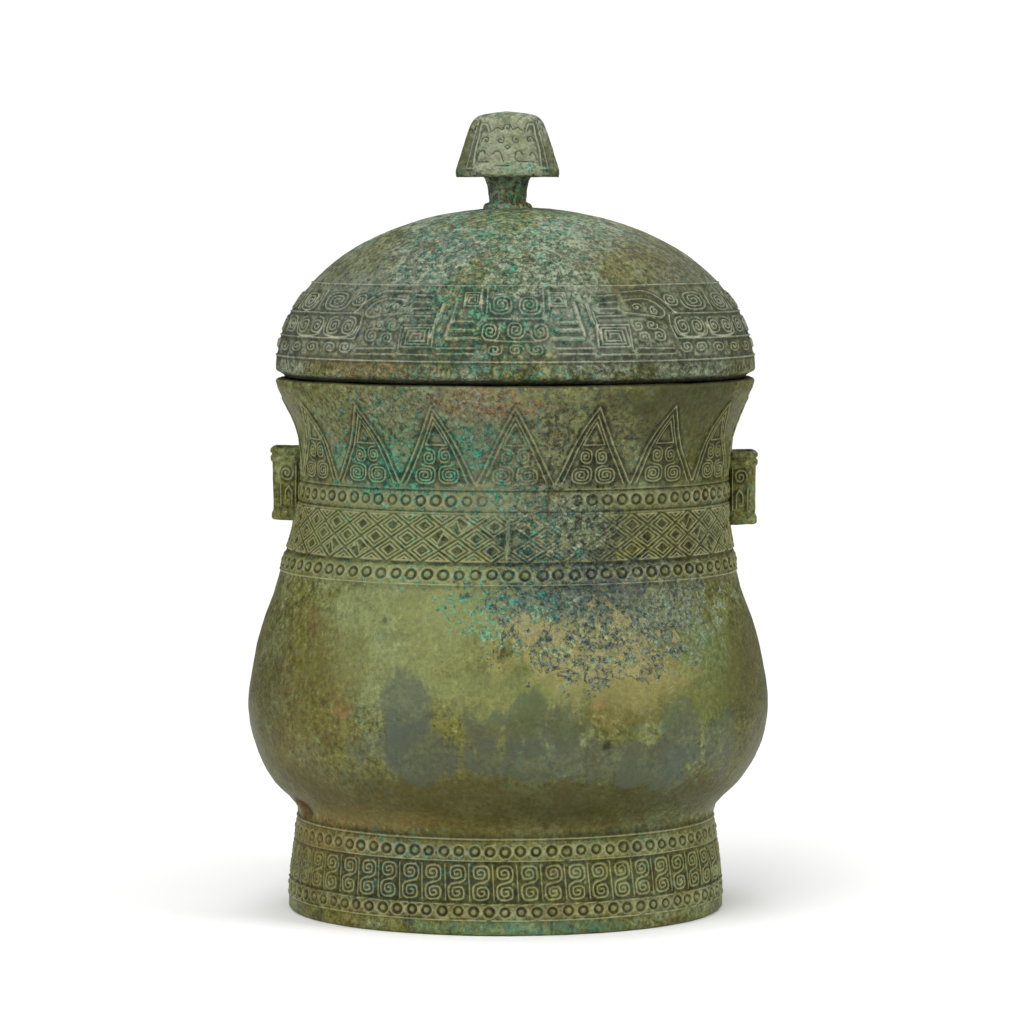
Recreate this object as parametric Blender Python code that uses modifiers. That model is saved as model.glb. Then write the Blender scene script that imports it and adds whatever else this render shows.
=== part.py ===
# A lidded bronze wine vessel: a pear-shaped body of oval section on a ring foot, with two
# tubular lugs on its neck, and a domed lid with a cap-shaped knob.
# Metres, +Z up, the front faces -Y. The origin is where the belly's axis meets the ground.

import math

import bmesh
import bpy
import numpy as np
from mathutils import Vector
from mathutils.geometry import delaunay_2d_cdt

# The oval section, as its depth over its width
DEPTH_SHARE = 0.80

# Heights of the body, stacked from the ground up
FOOT_HEIGHT = 0.0260
BELLY_RISE = 0.0285
SHOULDER_RISE = 0.0590
MOUTH_RISE = 0.0257

# Widths of the body at those heights
FOOT_WIDTH = 0.1140
WAIST_WIDTH = 0.1086
BELLY_WIDTH = 0.1361
NECK_WIDTH = 0.1120
MOUTH_WIDTH = 0.1248

# Walls, floor and edges
WALL = 0.0030
FOOT_WALL = 0.0030
FLOOR_WALL = 0.0035
FLOOR_LIFT = 0.0015
BOWL_RISE = 0.0125
EDGE_ROUND = 0.0008

# The casting leans a little: sideways shifts of the neck and of the foot
NECK_LEAN = 0.00185
FOOT_LEAN = -0.0007

# Relief, and the bands of the neck stacked down from the rim
RELIEF = 0.00045
THREAD = 0.0011
RIM_MARGIN = 0.0054
BLADE_HEIGHT = 0.0204
RING_BAND = 0.0052
LOZENGE_BAND = 0.0134
BLADE_COUNT = 16
RING_COUNT = 80
LOZENGE_COUNT = 36
FLANGE_WIDTH = 0.0013
FLANGE_PROUD = 0.0009

# Bands of the foot, stacked down from the waist
FOOT_MARGIN = 0.0020
FOOT_RING_BAND = 0.0054
SCROLL_BAND = 0.0104
SCROLL_COUNT = 52

# Lugs on the neck
LUG_HEIGHT = 0.0189
LUG_DEPTH = 0.0130
LUG_PROUD = 0.0074
LUG_ROUND = 0.0030
LUG_LIP = 0.0005
LUG_WALL = 0.0014
LUG_DROP = 0.0282
LUG_STEP = 0.00055
BORE_WIDTH = 0.0052
BORE_DEPTH = 0.0080

# The lid
LID_GAP = 0.0003
LID_EDGE = 0.0022
LID_RISE = 0.0417
LID_WALL = 0.0030
COLLAR_DROP = 0.0110
COLLAR_WALL = 0.0022
COLLAR_CLEARANCE = 0.0008
LID_MARGIN = 0.0032
LID_BAND = 0.0182
LID_UNITS = 6

# The knob
STEM_RADIUS = 0.0050
STEM_FLARE = 0.0018
STEM_HEIGHT = 0.0090
KNOB_WIDTH = 0.0268
KNOB_DEPTH = 0.0200
KNOB_HEIGHT = 0.0164
KNOB_CHAMFER = 0.0042
KNOB_SHIFT = -0.0020

# Columns of faces round the plain parts
COLUMNS = 32
TINY = 0.000001

# The free curves of the outline, as shares of a stretch's height and of its swell
LOWER_BELLY = ((0, 0), (0.13, 0.18), (0.28, 0.50), (0.57, 0.836), (0.80, 0.965), (1, 1))
SHOULDER = ((0, 0), (0.22, 0.154), (0.364, 0.344), (0.508, 0.60), (0.651, 0.784), (0.80, 0.93), (1, 1))
MOUTH = ((0, 0), (0.35, 0.047), (0.514, 0.203), (0.677, 0.484), (0.84, 0.8125), (0.96, 1), (1, 1))
KNOB_SIDE = ((0.0, 0.985), (0.06, 1.0), (0.21, 0.95), (0.47, 0.855), (0.72, 0.72), (0.90, 0.55), (1.0, 0.26))

BELLY_LEVEL = FOOT_HEIGHT + BELLY_RISE
NECK_LEVEL = BELLY_LEVEL + SHOULDER_RISE
RIM_LEVEL = NECK_LEVEL + MOUTH_RISE
LID_LEVEL = RIM_LEVEL + LID_GAP


def smooth_curve(points):
    # a monotone cubic through a few points, returned as a function
    across = np.array([point[0] for point in points], dtype=float)
    up = np.array([point[1] for point in points], dtype=float)
    steps = np.diff(across)
    slopes = np.diff(up) / steps
    lean = np.zeros(len(up))
    for index in range(1, len(up) - 1):
        before, after = slopes[index - 1], slopes[index]
        if before * after > 0:
            lean[index] = 2 * before * after / (before + after)

    def value(place):
        index = int(np.clip(np.searchsorted(across, place, side="right") - 1, 0, len(steps) - 1))
        share = (place - across[index]) / steps[index]
        square, cube = share ** 2, share ** 3
        start = up[index] * (2 * cube - 3 * square + 1) + lean[index] * steps[index] * (cube - 2 * square + share)
        end = up[index + 1] * (3 * square - 2 * cube) + lean[index + 1] * steps[index] * (cube - square)
        return float(start + end)

    return value


lowerBelly = smooth_curve(LOWER_BELLY)
shoulder = smooth_curve(SHOULDER)
mouth = smooth_curve(MOUTH)
knobSide = smooth_curve(KNOB_SIDE)


def mix(first, second, share):
    return first + (second - first) * share


def half_width(height):
    # the body's outline at any height
    if height < FOOT_HEIGHT:
        return mix(FOOT_WIDTH, WAIST_WIDTH, (max(height, 0) / FOOT_HEIGHT) ** 1.7) / 2
    if height < BELLY_LEVEL:
        return mix(WAIST_WIDTH, BELLY_WIDTH, lowerBelly((height - FOOT_HEIGHT) / BELLY_RISE)) / 2
    if height < NECK_LEVEL:
        return mix(BELLY_WIDTH, NECK_WIDTH, shoulder((height - BELLY_LEVEL) / SHOULDER_RISE)) / 2
    return mix(NECK_WIDTH, MOUTH_WIDTH, mouth(min((height - NECK_LEVEL) / MOUTH_RISE, 1))) / 2


def lean_at(height):
    # the sideways shift of the section at a height
    low = np.clip((FOOT_HEIGHT + BELLY_RISE * 0.7 - height) / (BELLY_RISE * 0.7), 0, 1)
    start = NECK_LEVEL - SHOULDER_RISE / 2
    high = np.clip((height - start) / (MOUTH_RISE / 4 + SHOULDER_RISE / 2), 0, 1)
    return FOOT_LEAN * low ** 2 * (3 - 2 * low) + NECK_LEAN * high ** 2 * (3 - 2 * high)


class Meridian:
    # A path of stations from one cap of a skin to the other. Each has a height, a half width and
    # a half depth, and is measured by how far it is along the path.

    def __init__(self):
        self.along = []
        self.height = []
        self.width = []
        self.depth = []

    def add(self, height, width, depth):
        step = 0.0
        if self.along:
            step = self.along[-1] + math.hypot(height - self.height[-1], width - self.width[-1])
        self.along.append(step)
        self.height.append(height)
        self.width.append(width)
        self.depth.append(depth)
        return step

    def place(self, turns, along, lift):
        # points in space for shares of a turn, places along the path and lifts off the surface
        height = np.interp(along, self.along, self.height)
        width = np.interp(along, self.along, self.width)
        depth = np.interp(along, self.along, self.depth)
        rise = np.interp(along, self.along, np.gradient(self.height, self.along))
        spread = np.interp(along, self.along, np.gradient(self.width, self.along))
        angle = np.interp(turns, turnShares, turnAngles)
        out = np.stack([np.cos(angle) / width, np.sin(angle) / depth], axis=1)
        out /= np.linalg.norm(out, axis=1)[:, None]
        slope = np.hypot(rise, spread)
        return np.stack([
            width * np.cos(angle) + lean_at(height) + lift * out[:, 0] * rise / slope,
            depth * np.sin(angle) + lift * out[:, 1] * rise / slope,
            height - lift * spread / slope], axis=1)


# Angles on the oval that lie evenly round its edge
turnAngles = np.linspace(0, 2 * math.pi, 1441)
turnSteps = np.hypot(np.diff(np.cos(turnAngles)), DEPTH_SHARE * np.diff(np.sin(turnAngles)))
turnShares = np.concatenate([[0], np.cumsum(turnSteps)]) / turnSteps.sum()


class Sheet:
    # A skin laid out flat: across runs once round the piece, from its right side, and up runs
    # along its meridian. Its lines become edges of the mesh.

    def __init__(self, girth):
        self.girth = girth
        self.front = girth * 0.75
        self.points = []
        self.lifts = []
        self.edges = []

    def dot(self, across, up, lift):
        # one corner, and its twin where it lies on the seam
        twin = None
        if abs(across) < TINY:
            across, twin = 0.0, self.girth
        elif abs(across - self.girth) < TINY:
            across, twin = self.girth, 0.0
        if twin is not None:
            self.points.append(Vector((twin, up)))
            self.lifts.append(lift)
        self.points.append(Vector((across, up)))
        self.lifts.append(lift)
        return len(self.points) - 1

    def spot(self, across, up, lift):
        self.dot(across % self.girth, up, lift)

    def stretch(self, first, second):
        # one straight edge, cut where it crosses the seam
        start, end = sorted((Vector(first), Vector(second)), key=lambda corner: corner.x)
        seam = (math.floor((start.x + TINY) / self.girth) + 1) * self.girth
        parts = [(start, end)]
        if end.x > seam + TINY:
            middle = start.lerp(end, (seam - start.x) / (end.x - start.x))
            parts = [(start, middle), (middle, end)]
        for low, high in parts:
            shift = math.floor((low.x + high.x) / 2 / self.girth) * self.girth
            ends = [self.dot(corner.x - shift, corner.y, corner.z) for corner in (low, high)]
            self.edges.append(tuple(ends))

    def line(self, corners, closed=False):
        followers = corners[1:] + (corners[:1] if closed else [])
        for first, second in zip(corners, followers):
            self.stretch(first, second)

    def ring(self, up, columns, lift=0.0):
        self.line([(self.girth * index / columns, up, lift) for index in range(columns + 1)])

    def ridge(self, path, foot, lift):
        # a raised thread with a crest along the path and its foot on both sides
        path = [Vector(point) for point in path]
        sides = ([], [])
        for index, point in enumerate(path):
            before = (point - path[max(index - 1, 0)]).normalized()
            after = (path[min(index + 1, len(path) - 1)] - point).normalized()
            course = (before + after).normalized()
            reach = foot / max(course.dot(after if after.length else before), 0.5)
            end = -course if index == 0 else (course if index == len(path) - 1 else Vector((0, 0)))
            across = Vector((-course.y, course.x)) * reach
            for side, sign in zip(sides, (1, -1)):
                corner = point + across * sign + end * foot * 0.6
                side.append((corner.x, corner.y, 0.0))
        self.line(sides[0] + sides[1][::-1], closed=True)
        self.line([(point.x, point.y, lift) for point in path])

    def mesh(self, name, meridian):
        # triangles between all the lines, wrapped on the meridian's surface and capped
        points, _, faces, sources, _, _ = delaunay_2d_cdt(self.points, self.edges, [], 0, TINY)
        lifts = [max([self.lifts[source] for source in group], default=0.0) for group in sources]
        flat = np.array([tuple(point) for point in points])
        solid = meridian.place(flat[:, 0] / self.girth, flat[:, 1], np.array(lifts))
        work = bmesh.new()
        corners = [work.verts.new(place) for place in solid]
        for face in faces:
            work.faces.new([corners[index] for index in face])
        bmesh.ops.remove_doubles(work, verts=work.verts, dist=TINY)
        rims = [edge for edge in work.edges if edge.is_boundary]
        caps = bmesh.ops.holes_fill(work, edges=rims, sides=0)
        bmesh.ops.triangulate(work, faces=caps["faces"])
        bmesh.ops.recalc_face_normals(work, faces=work.faces)
        mesh = bpy.data.meshes.new(name)
        work.to_mesh(mesh)
        work.free()
        return mesh


def place_rings(sheet, low, high):
    # a row of small bosses that touch each other
    pitch = sheet.girth / RING_COUNT
    middle = (low + high) / 2
    for index in range(RING_COUNT):
        centre = sheet.front + index * pitch
        sheet.line([(centre - pitch / 2, middle, 0), (centre, high, 0), (centre + pitch / 2, middle, 0),
                    (centre, low, 0)], closed=True)
        sheet.spot(centre, middle, RELIEF)


def place_lozenges(sheet, low, high):
    # two rows of nested diamonds, with the columns' borders on the front
    pitch = sheet.girth / LOZENGE_COUNT
    reach = (high - low) / 4
    for index in range(LOZENGE_COUNT):
        centre = sheet.front + (index + 0.5) * pitch
        for middle in (low + reach, high - reach):
            for share, lift in ((1.0, 0.0), (0.58, RELIEF)):
                sheet.line([(centre - pitch / 2 * share, middle, lift), (centre, middle + reach * share, lift),
                            (centre + pitch / 2 * share, middle, lift), (centre, middle - reach * share, lift)],
                           closed=True)


def place_blades(sheet, low, high):
    # rising blades, each a pointed thread round a small wedge and two round bosses
    pitch = sheet.girth / BLADE_COUNT
    tall = high - low
    spread = pitch / 2 - THREAD
    for index in range(BLADE_COUNT):
        centre = sheet.front + index * pitch
        sheet.ridge([(centre - spread, low + THREAD), (centre, high - THREAD), (centre + spread, low + THREAD)],
                    THREAD / 2, RELIEF)
        sheet.line([(centre - pitch * 0.09, low + tall * 0.46, RELIEF), (centre, low + tall * 0.68, RELIEF),
                    (centre + pitch * 0.09, low + tall * 0.46, RELIEF)], closed=True)
        sheet.line([(centre - pitch * 0.14, low + tall * 0.42, 0), (centre, low + tall * 0.75, 0),
                    (centre + pitch * 0.14, low + tall * 0.42, 0)], closed=True)
        for side in (-1, 1):
            middle = centre + side * pitch * 0.2
            reach = tall * 0.12
            sheet.line([(middle - reach, low + tall * 0.2, 0), (middle, low + tall * 0.32, 0),
                        (middle + reach, low + tall * 0.2, 0), (middle, low + tall * 0.08, 0)], closed=True)
            sheet.spot(middle, low + tall * 0.2, RELIEF)


def place_flange(sheet, low, high):
    # a thin upright ridge on the front and on the back of the neck
    for centre in (sheet.front, sheet.front - sheet.girth / 2):
        sheet.line([(centre - FLANGE_WIDTH / 2, low + FLANGE_WIDTH, 0), (centre, low, 0),
                    (centre + FLANGE_WIDTH / 2, low + FLANGE_WIDTH, 0),
                    (centre + FLANGE_WIDTH / 2, high - FLANGE_WIDTH, 0), (centre, high, 0),
                    (centre - FLANGE_WIDTH / 2, high - FLANGE_WIDTH, 0)], closed=True)
        ends = (low + FLANGE_WIDTH, high - FLANGE_WIDTH)
        levels = [ends[0]] + [mix(low, high, share) for share in (0.25, 0.5, 0.75)] + [ends[1]]
        sheet.line([(centre, level, FLANGE_PROUD) for level in levels])


def place_scrolls(sheet, low, high):
    # slanting bars round the foot
    pitch = sheet.girth / SCROLL_COUNT
    tall = high - low
    for index in range(SCROLL_COUNT):
        centre = sheet.front + index * pitch
        sheet.ridge([(centre - pitch * 0.18, high - tall * 0.16), (centre + pitch * 0.18, low + tall * 0.16)],
                    THREAD, RELIEF)


def place_meanders(sheet, low, high):
    # units of paired hooks, with an angular meander on both sides of each pair
    unit = sheet.girth / LID_UNITS
    tall = high - low
    for index in range(LID_UNITS):
        centre = sheet.front + index * unit
        for side in (-1, 1):

            def path(*shares):
                return [(centre + side * unit * across, low + tall * up) for across, up in shares]

            sheet.ridge(path((0.02, 0.62), (0.06, 0.42), (0.15, 0.44), (0.15, 0.68), (0.10, 0.66)),
                        THREAD / 2, RELIEF)
            sheet.ridge(path((0.03, 0.12), (0.03, 0.30), (0.13, 0.28)), THREAD / 2, RELIEF)
            sheet.ridge(path((0.03, 0.86), (0.21, 0.84), (0.21, 0.14), (0.46, 0.12)), THREAD / 2, RELIEF)
            sheet.ridge(path((0.28, 0.30), (0.28, 0.84), (0.44, 0.84), (0.44, 0.34), (0.36, 0.34)),
                        THREAD / 2, RELIEF)


def bronze(name, colour):
    # a worn green-brown bronze
    material = bpy.data.materials.new(name)
    material.use_nodes = True
    shader = material.node_tree.nodes["Principled BSDF"]
    shader.inputs["Base Color"].default_value = colour
    shader.inputs["Metallic"].default_value = 0.35
    shader.inputs["Roughness"].default_value = 0.62
    return material


def add_object(name, mesh, collection):
    piece = bpy.data.objects.new(name, mesh)
    collection.objects.link(piece)
    return piece


def add_loft(name, rings, collection):
    # a skin through rings of corners, closed at both ends
    work = bmesh.new()
    loops = [[work.verts.new(corner) for corner in ring] for ring in rings]
    for low, high in zip(loops, loops[1:]):
        for index in range(len(low)):
            follower = (index + 1) % len(low)
            work.faces.new((low[index], low[follower], high[follower], high[index]))
    work.faces.new(loops[0][::-1])
    work.faces.new(loops[-1])
    bmesh.ops.recalc_face_normals(work, faces=work.faces)
    mesh = bpy.data.meshes.new(name)
    work.to_mesh(mesh)
    work.free()
    return add_object(name, mesh, collection)


def as_cutter(piece):
    piece.hide_render = True
    piece.display_type = "WIRE"
    return piece


def combine(piece, other, operation):
    change = piece.modifiers.new(other.name, "BOOLEAN")
    change.operation = operation
    change.object = other
    change.solver = "EXACT"


def build_body_skin():
    # the wall from the middle of the underside, round the foot, up the outside and down the inside
    meridian = Meridian()
    inner = half_width(FOOT_HEIGHT) - FOOT_WALL
    innerDepth = half_width(FOOT_HEIGHT) * DEPTH_SHARE - FOOT_WALL
    floor = FOOT_HEIGHT + FLOOR_LIFT
    bowlTop = floor + BOWL_RISE
    bowlWidth = half_width(bowlTop) - WALL
    bowlDepth = half_width(bowlTop) * DEPTH_SHARE - WALL
    rings = []
    for share, columns in ((0.25, COLUMNS // 4), (0.65, COLUMNS // 2), (1.0, COLUMNS)):
        drop = BOWL_RISE * math.sqrt(1 - (share * inner / bowlWidth) ** 2)
        height = bowlTop - drop - FLOOR_WALL
        rings.append((meridian.add(height, share * inner, share * innerDepth), columns))
    width = half_width(EDGE_ROUND)
    rings.append((meridian.add(EDGE_ROUND, width - FOOT_WALL, width * DEPTH_SHARE - FOOT_WALL), COLUMNS))
    base = half_width(0)
    for inset in (FOOT_WALL - EDGE_ROUND, EDGE_ROUND):
        rings.append((meridian.add(0, base - inset, base * DEPTH_SHARE - inset), COLUMNS))
    outsideStart = len(meridian.along)
    for height in np.linspace(EDGE_ROUND, RIM_LEVEL - EDGE_ROUND, 141):
        width = half_width(height)
        meridian.add(height, width, width * DEPTH_SHARE)
    outsideEnd = len(meridian.along)
    rings.append((meridian.along[outsideStart], COLUMNS))
    rings.append((meridian.along[-1], COLUMNS))
    rim = half_width(RIM_LEVEL)
    for inset in (EDGE_ROUND, WALL - EDGE_ROUND):
        rings.append((meridian.add(RIM_LEVEL, rim - inset, rim * DEPTH_SHARE - inset), COLUMNS))
    levels = [RIM_LEVEL - EDGE_ROUND, RIM_LEVEL - MOUTH_RISE * 0.35, NECK_LEVEL + MOUTH_RISE * 0.2]
    levels += [mix(NECK_LEVEL, BELLY_LEVEL, share) for share in (0.4, 0.8)] + [bowlTop]
    for height in levels:
        width = half_width(height)
        rings.append((meridian.add(height, width - WALL, width * DEPTH_SHARE - WALL), COLUMNS))
    for degrees, columns in ((18, COLUMNS), (40, COLUMNS), (60, COLUMNS // 2), (80, COLUMNS // 4)):
        turn = math.radians(degrees)
        height = bowlTop - BOWL_RISE * math.sin(turn)
        rings.append((meridian.add(height, bowlWidth * math.cos(turn), bowlDepth * math.cos(turn)), columns))

    def outside(height):
        heights = meridian.height[outsideStart:outsideEnd]
        return float(np.interp(height, heights, meridian.along[outsideStart:outsideEnd]))

    return meridian, rings, outside


def build_body(parts, cutters, material):
    meridian, rings, outside = build_body_skin()
    sheet = Sheet(NECK_WIDTH / 2 * turnSteps.sum())
    for along, columns in rings:
        sheet.ring(along, columns)

    bladeTop = RIM_LEVEL - RIM_MARGIN
    bladeBase = bladeTop - BLADE_HEIGHT
    upperRings = bladeBase - RING_BAND
    lozenges = upperRings - LOZENGE_BAND
    lowerRings = lozenges - RING_BAND
    footTop = FOOT_HEIGHT - FOOT_MARGIN
    scrollTop = footTop - FOOT_RING_BAND
    scrollBase = scrollTop - SCROLL_BAND
    footBase = scrollBase - FOOT_RING_BAND * 0.8

    sheet.ring(outside(FOOT_HEIGHT), COLUMNS)
    for share in (0.14, 0.30, 0.5, 0.75, 1.0):
        sheet.ring(outside(FOOT_HEIGHT + BELLY_RISE * share), COLUMNS)
    for share in (0.22, 0.45, 0.72):
        sheet.ring(outside(mix(BELLY_LEVEL, lowerRings, share)), COLUMNS)
    place_rings(sheet, outside(lowerRings), outside(lozenges))
    place_lozenges(sheet, outside(lozenges), outside(upperRings))
    place_rings(sheet, outside(upperRings), outside(bladeBase))
    place_blades(sheet, outside(bladeBase), outside(bladeTop))
    place_flange(sheet, outside(lozenges), outside(upperRings))
    place_rings(sheet, outside(scrollTop), outside(footTop))
    place_scrolls(sheet, outside(scrollBase), outside(scrollTop))
    place_rings(sheet, outside(footBase), outside(scrollBase))

    body = add_object("vessel_body", sheet.mesh("vessel_body", meridian), parts)
    body.data.materials.append(material)
    for side, name in ((-1, "left"), (1, "right")):
        lug, bore = build_lug(side, name, cutters)
        combine(body, lug, "UNION")
        combine(body, bore, "DIFFERENCE")
    finish(body)
    return body


def rounded_box(reach, depth, corner, height):
    # the corners of a rounded oblong at one height, as offsets from its middle
    points = []
    for centreX, centreY, start in ((1, 1, 0), (-1, 1, 90), (-1, -1, 180), (1, -1, 270)):
        for step in (0, 45, 90):
            turn = math.radians(start + step)
            points.append(((reach - corner) * centreX + corner * math.cos(turn),
                           (depth - corner) * centreY + corner * math.sin(turn), height))
    return points


def build_lug(side, name, cutters):
    # an upright tube that grows out of the neck, with a lip at both ends
    middle = RIM_LEVEL - LUG_DROP - side * LUG_STEP
    root = NECK_WIDTH / 2 - WALL / 2
    reach = (LUG_PROUD + WALL / 2) / 2
    centre = lean_at(middle) + side * (root + reach)
    rings = []
    for share, proud in ((0, 0.4), (0.03, 1), (0.11, 1), (0.16, 0), (0.80, 0), (0.84, 1), (0.97, 1), (1, 0.4)):
        lip = (proud - 1) * LUG_LIP
        height = middle + (share - 0.5) * LUG_HEIGHT
        ring = rounded_box(reach + lip, LUG_DEPTH / 2 + lip, min(LUG_ROUND, reach * 0.8), height)
        rings.append([(centre + across, along, up) for across, along, up in ring])
    lug = as_cutter(add_loft("lug_" + name, rings, cutters))

    bpy.ops.mesh.primitive_cube_add(size=1)
    bore = bpy.context.object
    bore.name = "bore_" + name
    bore.location = (centre + side * (reach - LUG_WALL - BORE_WIDTH / 2), 0, middle)
    bore.scale = (BORE_WIDTH, BORE_DEPTH, LUG_HEIGHT * 1.3)
    for owner in list(bore.users_collection):
        owner.objects.unlink(bore)
    cutters.objects.link(bore)
    return lug, as_cutter(bore)


def build_lid_skin():
    # the wall from the top of the hollow, down inside, round the collar and up over the dome
    meridian = Meridian()
    half = MOUTH_WIDTH / 2
    edgeTop = LID_LEVEL + LID_EDGE
    ledge = LID_LEVEL + LID_WALL
    collarBase = LID_LEVEL - COLLAR_DROP
    collar = half_width(collarBase) - WALL - COLLAR_CLEARANCE
    collarDepth = half_width(collarBase) * DEPTH_SHARE - WALL - COLLAR_CLEARANCE
    rings = []
    low = math.degrees(math.asin((ledge - edgeTop) / (LID_RISE - LID_WALL)))
    for degrees, columns in ((80, COLUMNS // 4), (62, COLUMNS // 2), (42, COLUMNS), (21, COLUMNS), (low, COLUMNS)):
        turn = math.radians(degrees)
        height = edgeTop + (LID_RISE - LID_WALL) * math.sin(turn)
        width = (half - LID_WALL) * math.cos(turn)
        depth = (half * DEPTH_SHARE - LID_WALL) * math.cos(turn)
        rings.append((meridian.add(height, width, depth), columns))
    ease = EDGE_ROUND * 0.6
    for height, inset in ((ledge, COLLAR_WALL), (collarBase + ease, COLLAR_WALL), (collarBase, COLLAR_WALL - ease),
                          (collarBase, ease), (collarBase + ease, 0), (LID_LEVEL, 0)):
        rings.append((meridian.add(height, collar - inset, collarDepth - inset), COLUMNS))
    inset = EDGE_ROUND
    rings.append((meridian.add(LID_LEVEL, half - inset, half * DEPTH_SHARE - inset), COLUMNS))
    rings.append((meridian.add(LID_LEVEL + inset, half, half * DEPTH_SHARE), COLUMNS))
    outsideStart = len(meridian.along) - 1
    last = math.acos(STEM_RADIUS * 0.7 / half)
    for turn in np.linspace(0, last, 61):
        height = edgeTop + LID_RISE * math.sin(turn)
        meridian.add(height, half * math.cos(turn), half * DEPTH_SHARE * math.cos(turn))
    rings.append((meridian.along[-1], COLUMNS // 5))

    def outside(height):
        return float(np.interp(height, meridian.height[outsideStart:], meridian.along[outsideStart:]))

    return meridian, rings, outside


def knob_ring(share, height, centre):
    # an oblong with its corners cut off
    reach = KNOB_WIDTH / 2 * share
    depth = KNOB_DEPTH / 2 * (0.25 + 0.75 * share)
    cut = KNOB_CHAMFER * share
    corners = ((reach, depth - cut), (reach - cut, depth), (cut - reach, depth), (-reach, depth - cut),
               (-reach, cut - depth), (cut - reach, -depth), (reach - cut, -depth), (reach, cut - depth))
    return [(centre + across, along, height) for across, along in corners]


def build_stem(centre, low, cutters):
    # a turned stem that spreads at both ends
    sides = ((STEM_HEIGHT, STEM_FLARE), (STEM_HEIGHT * 0.8, STEM_FLARE * 0.5), (STEM_HEIGHT * 0.5, 0),
             (STEM_HEIGHT * 0.2, 0), (0, STEM_FLARE * 0.5), (-LID_WALL / 2, STEM_FLARE * 0.5))
    mesh = bpy.data.meshes.new("stem")
    outline = [(0, 0, sides[0][0])] + [(STEM_RADIUS + flare, 0, height) for height, flare in sides]
    outline.append((0, 0, sides[-1][0]))
    mesh.from_pydata(outline, [(index, index + 1) for index in range(len(outline) - 1)], [])
    stem = add_object("stem", mesh, cutters)
    stem.location = (centre, 0, low)
    turn = stem.modifiers.new("turn", "SCREW")
    turn.steps = 12
    turn.render_steps = 12
    turn.use_merge_vertices = True
    turn.merge_threshold = 0.00001
    return as_cutter(stem)


def build_lid(parts, cutters, material):
    meridian, rings, outside = build_lid_skin()
    sheet = Sheet(MOUTH_WIDTH / 2 * turnSteps.sum())
    for along, columns in rings:
        sheet.ring(along, columns)
    edgeTop = LID_LEVEL + LID_EDGE
    bandBase = edgeTop + LID_MARGIN
    bandTop = bandBase + LID_BAND
    sheet.ring(outside(edgeTop), COLUMNS)
    sheet.ring(outside(bandBase), COLUMNS)
    sheet.ring(outside(bandTop), COLUMNS)
    apex = edgeTop + LID_RISE
    for share, columns in ((0.3, COLUMNS), (0.55, COLUMNS), (0.78, COLUMNS // 2), (0.93, COLUMNS // 4)):
        sheet.ring(outside(mix(bandTop, apex, share)), columns)
    place_meanders(sheet, outside(bandBase), outside(bandTop))
    lid = add_object("lid", sheet.mesh("lid", meridian), parts)
    lid.data.materials.append(material)

    centre = lean_at(apex) + KNOB_SHIFT
    stem = build_stem(centre, apex, cutters)
    knobBase = apex + STEM_HEIGHT - STEM_FLARE / 2
    rings = [knob_ring(knobSide(share), knobBase + KNOB_HEIGHT * share, centre)
             for share in (0.0, 0.06, 0.21, 0.47, 0.72, 0.90, 1.0)]
    knob = as_cutter(add_loft("knob", rings, cutters))
    combine(lid, stem, "UNION")
    combine(lid, knob, "UNION")
    finish(lid)
    return lid


def finish(piece):
    # smooth shading with the sharp edges kept
    piece.data.shade_smooth()
    piece.data.set_sharp_from_angle(angle=math.radians(35))


def main():
    for thing in list(bpy.data.objects):
        bpy.data.objects.remove(thing, do_unlink=True)
    parts = bpy.data.collections.new("bronze_zhi_vessel")
    cutters = bpy.data.collections.new("cutters")
    for collection in (parts, cutters):
        bpy.context.scene.collection.children.link(collection)
    build_body(parts, cutters, bronze("body_bronze", (0.20, 0.20, 0.11, 1)))
    build_lid(parts, cutters, bronze("lid_bronze", (0.19, 0.20, 0.11, 1)))


main()
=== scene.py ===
import math
import random

import bmesh
import bpy
import numpy as np
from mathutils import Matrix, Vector, kdtree, noise
from mathutils.geometry import delaunay_2d_cdt


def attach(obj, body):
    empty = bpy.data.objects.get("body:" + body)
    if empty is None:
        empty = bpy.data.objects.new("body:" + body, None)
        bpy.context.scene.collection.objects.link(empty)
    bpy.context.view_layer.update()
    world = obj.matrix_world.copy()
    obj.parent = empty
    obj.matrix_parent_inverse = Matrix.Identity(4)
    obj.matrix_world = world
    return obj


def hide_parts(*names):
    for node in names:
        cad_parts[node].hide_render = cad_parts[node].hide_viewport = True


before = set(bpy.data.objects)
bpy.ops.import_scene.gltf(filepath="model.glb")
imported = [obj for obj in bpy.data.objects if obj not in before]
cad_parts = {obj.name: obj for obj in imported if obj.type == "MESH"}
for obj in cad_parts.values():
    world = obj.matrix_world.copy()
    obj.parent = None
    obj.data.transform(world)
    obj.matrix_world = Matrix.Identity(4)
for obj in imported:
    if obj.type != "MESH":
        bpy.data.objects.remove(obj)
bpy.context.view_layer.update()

# A lidded bronze wine vessel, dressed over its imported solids. Sizes here are in millimetres and
# the finished meshes are in metres. The front faces -Y, and the piece stands on z = 0.

mm = 0.001
tiny = 0.00001
bpy.ops.object.select_all(action="DESELECT")

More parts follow.
